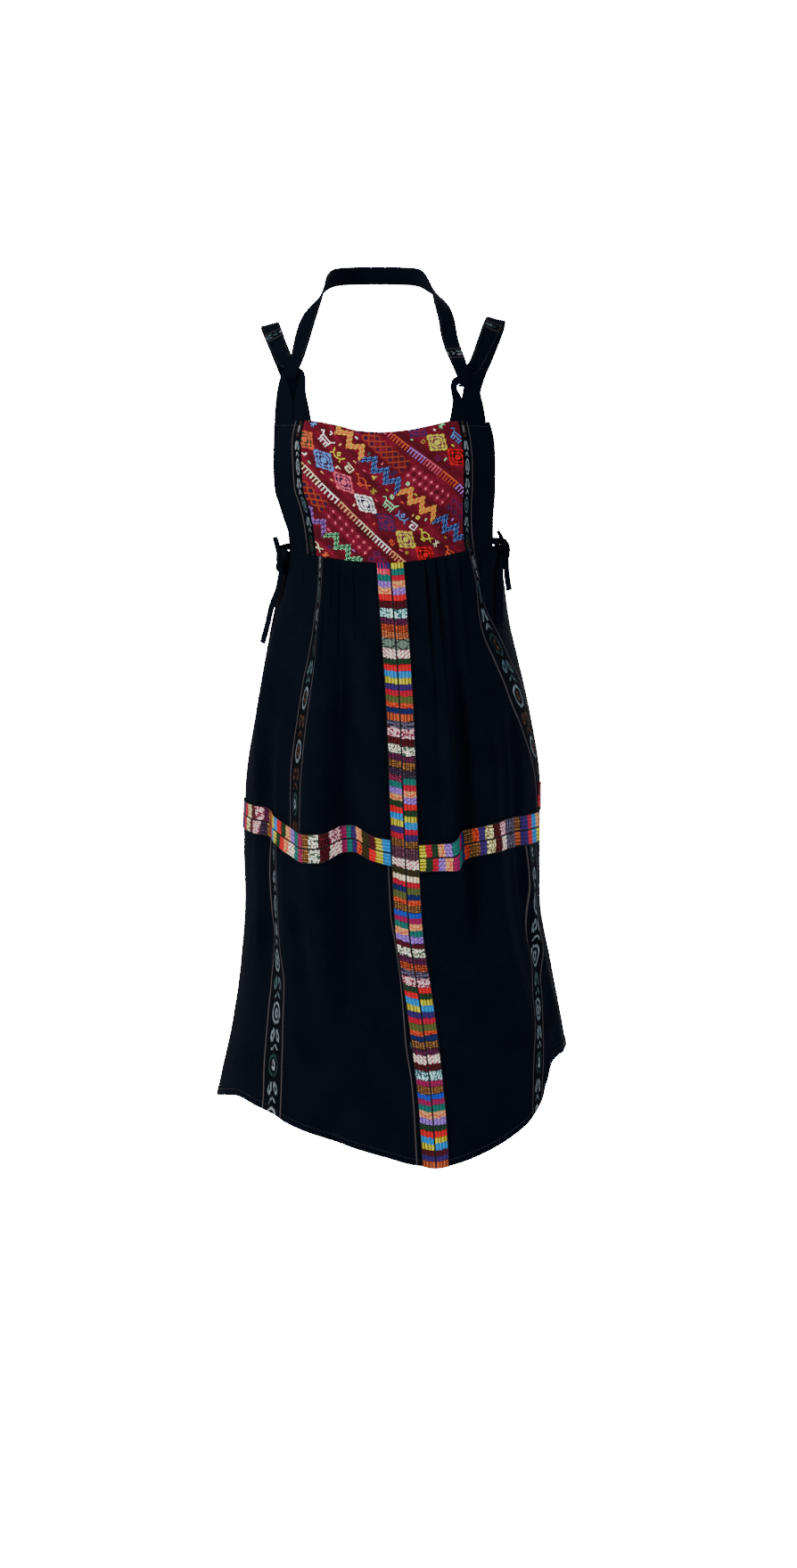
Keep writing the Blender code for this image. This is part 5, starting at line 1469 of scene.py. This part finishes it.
ties = {
    "tie_left_front": {
        "leaves": (0.42, -0.15, 0.90), "face": (-0.45, -0.88, 0.15), "clear": 1.8, "width": 5,
        "bib": (front, "left", -260.0, 4.4, 1.4),
        "rows": [(-112.6, -44.2, -266.8, -0.62, -0.78, 0.05, 5)],
    },
    "tie_left_back": {
        "leaves": (-0.35, 0.85, 0.38), "face": (-0.90, -0.43, 0.00), "clear": 0.8, "width": 6,
        "bib": (back, "left", -257.8, 8, 0.4),
        "rows": [(-123.2, -24.0, -273.0, -0.98, -0.20, 0.00, 7.5),
                 (-123.4, -6.0, -266.5, -1.00, -0.03, 0.00, 8),
                 (-121.8, 10.0, -262.0, -0.98, 0.20, 0.00, 8),
                 (-115.5, 29.0, -259.0, -0.90, 0.42, 0.00, 8)],
    },
    "tie_left_short_end": {
        "leaves": (-0.22, -0.10, 0.97), "face": (-0.20, -0.97, 0.00), "clear": 0.4, "width": 5,
        "rows": [(-121.0, -43.0, -262.0, -0.20, -0.97, 0.00, 6.5),
                 (-124.6, -42.5, -248.5, -0.20, -0.97, 0.00, 6.5)],
    },
    "tie_left_long_end": {
        "leaves": (-0.10, 0.15, -0.98), "face": (-0.60, -0.80, 0.00), "clear": 0.3, "width": 7,
        "rows": [(-121.5, -37.0, -309.0, -0.62, -0.78, 0.00, 8.5),
                 (-129.5, -30.0, -329.0, -0.68, -0.73, 0.00, 9),
                 (-134.0, -25.5, -348.0, -0.70, -0.71, 0.00, 9),
                 (-140.5, -21.0, -371.0, -0.70, -0.71, 0.00, 9)],
    },
    "tie_right_front": {
        "leaves": (-0.85, -0.50, 0.28), "face": (0.60, -0.80, 0.00), "clear": 1.9, "width": 6,
        "bib": (front, "right", -252.8, 7.5, 1.1),
        "rows": [(130.6, -43.6, -256.6, 0.70, -0.71, 0.00, 7)],
    },
    "tie_right_back": {
        "leaves": (0.42, 0.82, 0.38), "face": (0.92, -0.40, 0.00), "clear": 0.7, "width": 7,
        "bib": (back, "right", -251.5, 8, 0.7),
        "rows": [(143.8, -16.0, -257.6, 0.99, -0.15, 0.00, 8),
                 (142.2, 3.0, -254.0, 1.00, 0.05, 0.00, 8),
                 (135.5, 26.0, -252.0, 0.90, 0.42, 0.00, 8)],
    },
    "tie_right_short_end": {
        "leaves": (0.22, 0.10, -0.97), "face": (0.50, -0.87, 0.00), "clear": 1.3, "width": 6,
        "rows": [(142.6, -31.0, -290.0, 0.50, -0.87, 0.00, 7.5),
                 (145.6, -29.0, -310.0, 0.50, -0.87, 0.00, 8)],
    },
    "tie_right_spike": {
        "leaves": (-0.20, -0.35, 0.90), "face": (0.30, -0.95, 0.00), "clear": 0.4, "width": 5,
        "rows": [(135.2, -37.0, -247.5, 0.30, -0.95, 0.00, 5),
                 (131.8, -38.0, -241.5, 0.30, -0.95, 0.00, 4)],
    },
    "tie_right_long_end": {
        "leaves": (-0.30, -0.40, -0.86), "face": (0.50, -0.87, 0.00), "clear": 1.3, "width": 7,
        "rows": [(134.4, -44.0, -290.0, 0.50, -0.87, 0.00, 9),
                 (133.2, -53.5, -315.0, 0.50, -0.87, 0.00, 9.5),
                 (133.2, -62.5, -348.0, 0.50, -0.87, 0.00, 9.5)],
    },
}
knots = {
    "tie_left_knot": {"middle": (-117.4, -42.5, -282.0), "size": (6.2, 5.6, 10.0)},
    "tie_right_knot": {"middle": (140.0, -32.0, -264.0), "size": (6.2, 5.6, 10.5)},
}
knotWraps = [  # the turns of cloth round a knot: height, lean sideways, lean forwards, reach, breadth
    (4.6, 0.50, 0.25, 0.80, 3.2), (-3.8, -0.55, 0.20, 0.84, 3.4), (0.4, 0.20, -0.75, 0.90, 3.0),
]
knotMake = {"core": 0.80, "steps": 48, "round": 12, "thick": 1.15, "crease": 0.18, "creases": 5}
tieMake = {"steps": 6, "columns": 8, "wall": 1.6, "tuck": 2.5}


def knotOf(node):
    # tie_left_... is tied in tie_left_knot
    return knots["_".join(node.split("_")[:2]) + "_knot"]


def knotRow(tie, knot):
    # where a tie leaves its knot
    way = Vector(tie["leaves"]).normalized()
    reach = 1 / Vector([part / size for part, size in zip(way, knot["size"])]).length
    return (*(Vector(knot["middle"]) + way * (reach + tie["clear"])), *tie["face"], tie["width"])


def sewnSection(tie, neighbour):
    # where a tie is sewn along the side edge of the bib
    side, word, height, width, gap = tie["bib"]
    edges = bibEdges if side == front else backBibEdges
    turn = 1 if (side == front) == (word == "left") else -1
    corners = []
    for level in (height - width / 2, height + width / 2):
        across = edges.at(level, "outer_" + word)
        point, outward = ringPoint(shareAcross(across, level), level, side)
        corners.append(point)
    away = Vector((outward.y, -outward.x, 0.0)) * turn
    out = (corners[1] - corners[0]).cross(away).normalized()
    if out.dot(outward) < 0:
        out = -out
    shift = away * gap - out * cloth["bibWall"] / 2
    if (corners[1] - corners[0]).dot(neighbour[1] - neighbour[0]) < 0:
        corners.reverse()
    edge, other = corners[0] + shift, corners[1] + shift
    way = (other - edge).cross(edge + other - neighbour[0] - neighbour[1]).normalized()
    return edge, other, way if way.dot(neighbour[2]) > 0 else -way


def knotPiece(node, middle, size):
    # a tight core with three flat turns of cloth drawn round it
    mesh = bmesh.new()
    weave = mesh.loops.layers.uv.new("weave")
    ikat = mesh.loops.layers.uv.new("ikat")
    core = bmesh.ops.create_uvsphere(mesh, u_segments=24, v_segments=16, radius=1.0)["verts"]
    for vert in core:
        vert.co = Vector([part * reach * knotMake["core"] for part, reach in zip(vert.co, size)])
    steps, round_ = knotMake["steps"], knotMake["round"]
    for height, leanSide, leanFront, reach, breadth in knotWraps:
        grid = []
        for i in range(steps):
            angle = 2 * math.pi * i / steps
            x, y = math.cos(angle), math.sin(angle)
            squeeze = math.sqrt(max(1 - (height / size[2]) ** 2, 0.2))
            base = Vector((x * size[0] * reach * squeeze, y * size[1] * reach * squeeze,
                           height + size[0] * reach * (leanSide * x + leanFront * y)))
            outward = Vector((x, y, height / size[2] * 0.8)).normalized()
            upward = Vector((0, 0, 1)) - outward * outward.z
            upward.normalize()
            crease = 1 + knotMake["crease"] * math.sin(angle * knotMake["creases"] + height)
            turns = [2 * math.pi * j / round_ for j in range(round_)]
            grid.append([mesh.verts.new(base + outward * (knotMake["thick"] * math.cos(turn))
                                        + upward * (breadth * crease * math.sin(turn)))
                         for turn in turns])
        for i in range(steps):
            here, after = grid[i], grid[(i + 1) % steps]
            for j in range(round_):
                k = (j + 1) % round_
                mesh.faces.new((here[j], after[j], after[k], here[k]))
    for face in mesh.faces:
        for loop in face.loops:
            place = loop.vert.co
            loop[weave].uv = (math.atan2(place.y, place.x) * 5 * mm, place.z * mm)
            loop[ikat].uv = [part * mm for part in noStripe]
    for vert in mesh.verts:
        vert.co = (vert.co + Vector(middle)) * mm
    bmesh.ops.recalc_face_normals(mesh, faces=mesh.faces)
    data = bpy.data.meshes.new(node + "_cloth")
    mesh.to_mesh(data)
    mesh.free()
    data.materials.append(indigo)
    settle(placeObject(node + "_cloth", data), node, sharp=80)


def buildTies():
    for node, tie in ties.items():
        sections = ribbonSections(smoothRows([knotRow(tie, knotOf(node))] + tie["rows"], tieMake["steps"]))
        if "bib" in tie:
            sections.append(sewnSection(tie, sections[-1]))
        # the end at the knot goes in under its turns
        edge, other, way = sections[0]
        into = Vector(knotOf(node)["middle"]) - (edge + other) / 2
        into = into.normalized() * (tie["clear"] + tieMake["tuck"])
        sections.insert(0, (edge + into, other + into, way))
        ribbonPiece(node + "_cloth", sections, tieMake["wall"], node, columns=tieMake["columns"])
    for node, knot in knots.items():
        knotPiece(node, knot["middle"], knot["size"])
    print("ties made")


def skirtRun(side, first, last, level, shift=0.0, lift=0.0):
    # a line of stitches along the skirt's cloth
    steps = int((last - first) * seams["points"])
    run = []
    for i in range(steps + 1):
        along = first + (last - first) * i / steps
        run.append(overSkirt(along, level, side, lift, shift))
    return run


def bibRun(first, last, below, lift):
    # a line of stitches along the top of the bib
    steps = max(int((last - first) / seams["bibStep"]), 2)
    run = []
    for i in range(steps + 1):
        across = first + (last - first) * i / steps
        height = bibTop.at(across, "height") - below
        point, outward = ringPoint(shareAcross(across, height), height, front)
        run.append(point + outward * (handWave(point) * 0.5 + lift))
    return run


seams = {
    "hem": 0.5, "bibTop": 5.5, "bibThread": 0.1,  # lift of the hem's stitches, places of the bib's
    "bibLeft": (-121, -92), "bibRight": (88, 118), "brocade": (-87, 83, 0.2, -0.7),
    "points": 110, "bibStep": 2.6,  # points of a line along the whole skirt, mm between those of the bib
    "edgePitch": 2.1, "edgeLength": 1.9, "edgeWidth": 1.5,
    "bandPitch": 4.2, "bandLength": 3.0, "bandWidth": 0.6, "bandRows": (1.035, 1.5, 1.965),
}


def buildSeams():
    up, lift = skirtHem["stitchUp"], seams["hem"]
    stitchRun("skirt_lower_front_stitches", [skirtRun(front, 0.01, bandLeft - 0.005, 3.0, up, lift),
                                             skirtRun(front, bandRight + 0.005, 0.99, 3.0, up, lift)])
    stitchRun("skirt_lower_back_stitches", [skirtRun(back, 0.01, 0.99, 3.0, up, lift)])
    stitchRun("bib_side_left_stitches", [bibRun(*seams["bibLeft"], seams["bibTop"], seams["bibThread"])])
    stitchRun("bib_side_right_stitches", [bibRun(*seams["bibRight"], seams["bibTop"], seams["bibThread"])])
    # the brocade's cut top is whipped over in crimson thread
    stitchRun("bib_brocade_stitches", [bibRun(*seams["brocade"])], "brocade_cotton", seams["edgePitch"],
              seams["edgeLength"], seams["edgeWidth"], edgeThread)
    lift = cloth["seamGap"] + cloth["bandWall"] + 0.05
    runs = [[overSkirt(place, level, front, lift) for level in bandLevels(101, 3)]
            for place in (bandLeft + 0.002, bandMiddle, bandRight - 0.002)]
    size = (seams["bandPitch"], seams["bandLength"], seams["bandWidth"])
    stitchRun("centre_band_stitches", runs, "band_silk", *size)
    for node, side, first, last in (("hip_band_front_left", front, 0.005, bandLeft - 0.004),
                                    ("hip_band_front_right", front, bandRight + 0.004, 0.995),
                                    ("hip_band_back", back, 0.005, 0.995)):
        runs = [skirtRun(side, first, last, level, 0.0, lift) for level in seams["bandRows"]]
        stitchRun(node + "_stitches", runs, "band_silk", *size)
    print("seams made")


buildSkirt()
buildBands()
buildBib()
buildStraps()
buildTies()
buildSeams()
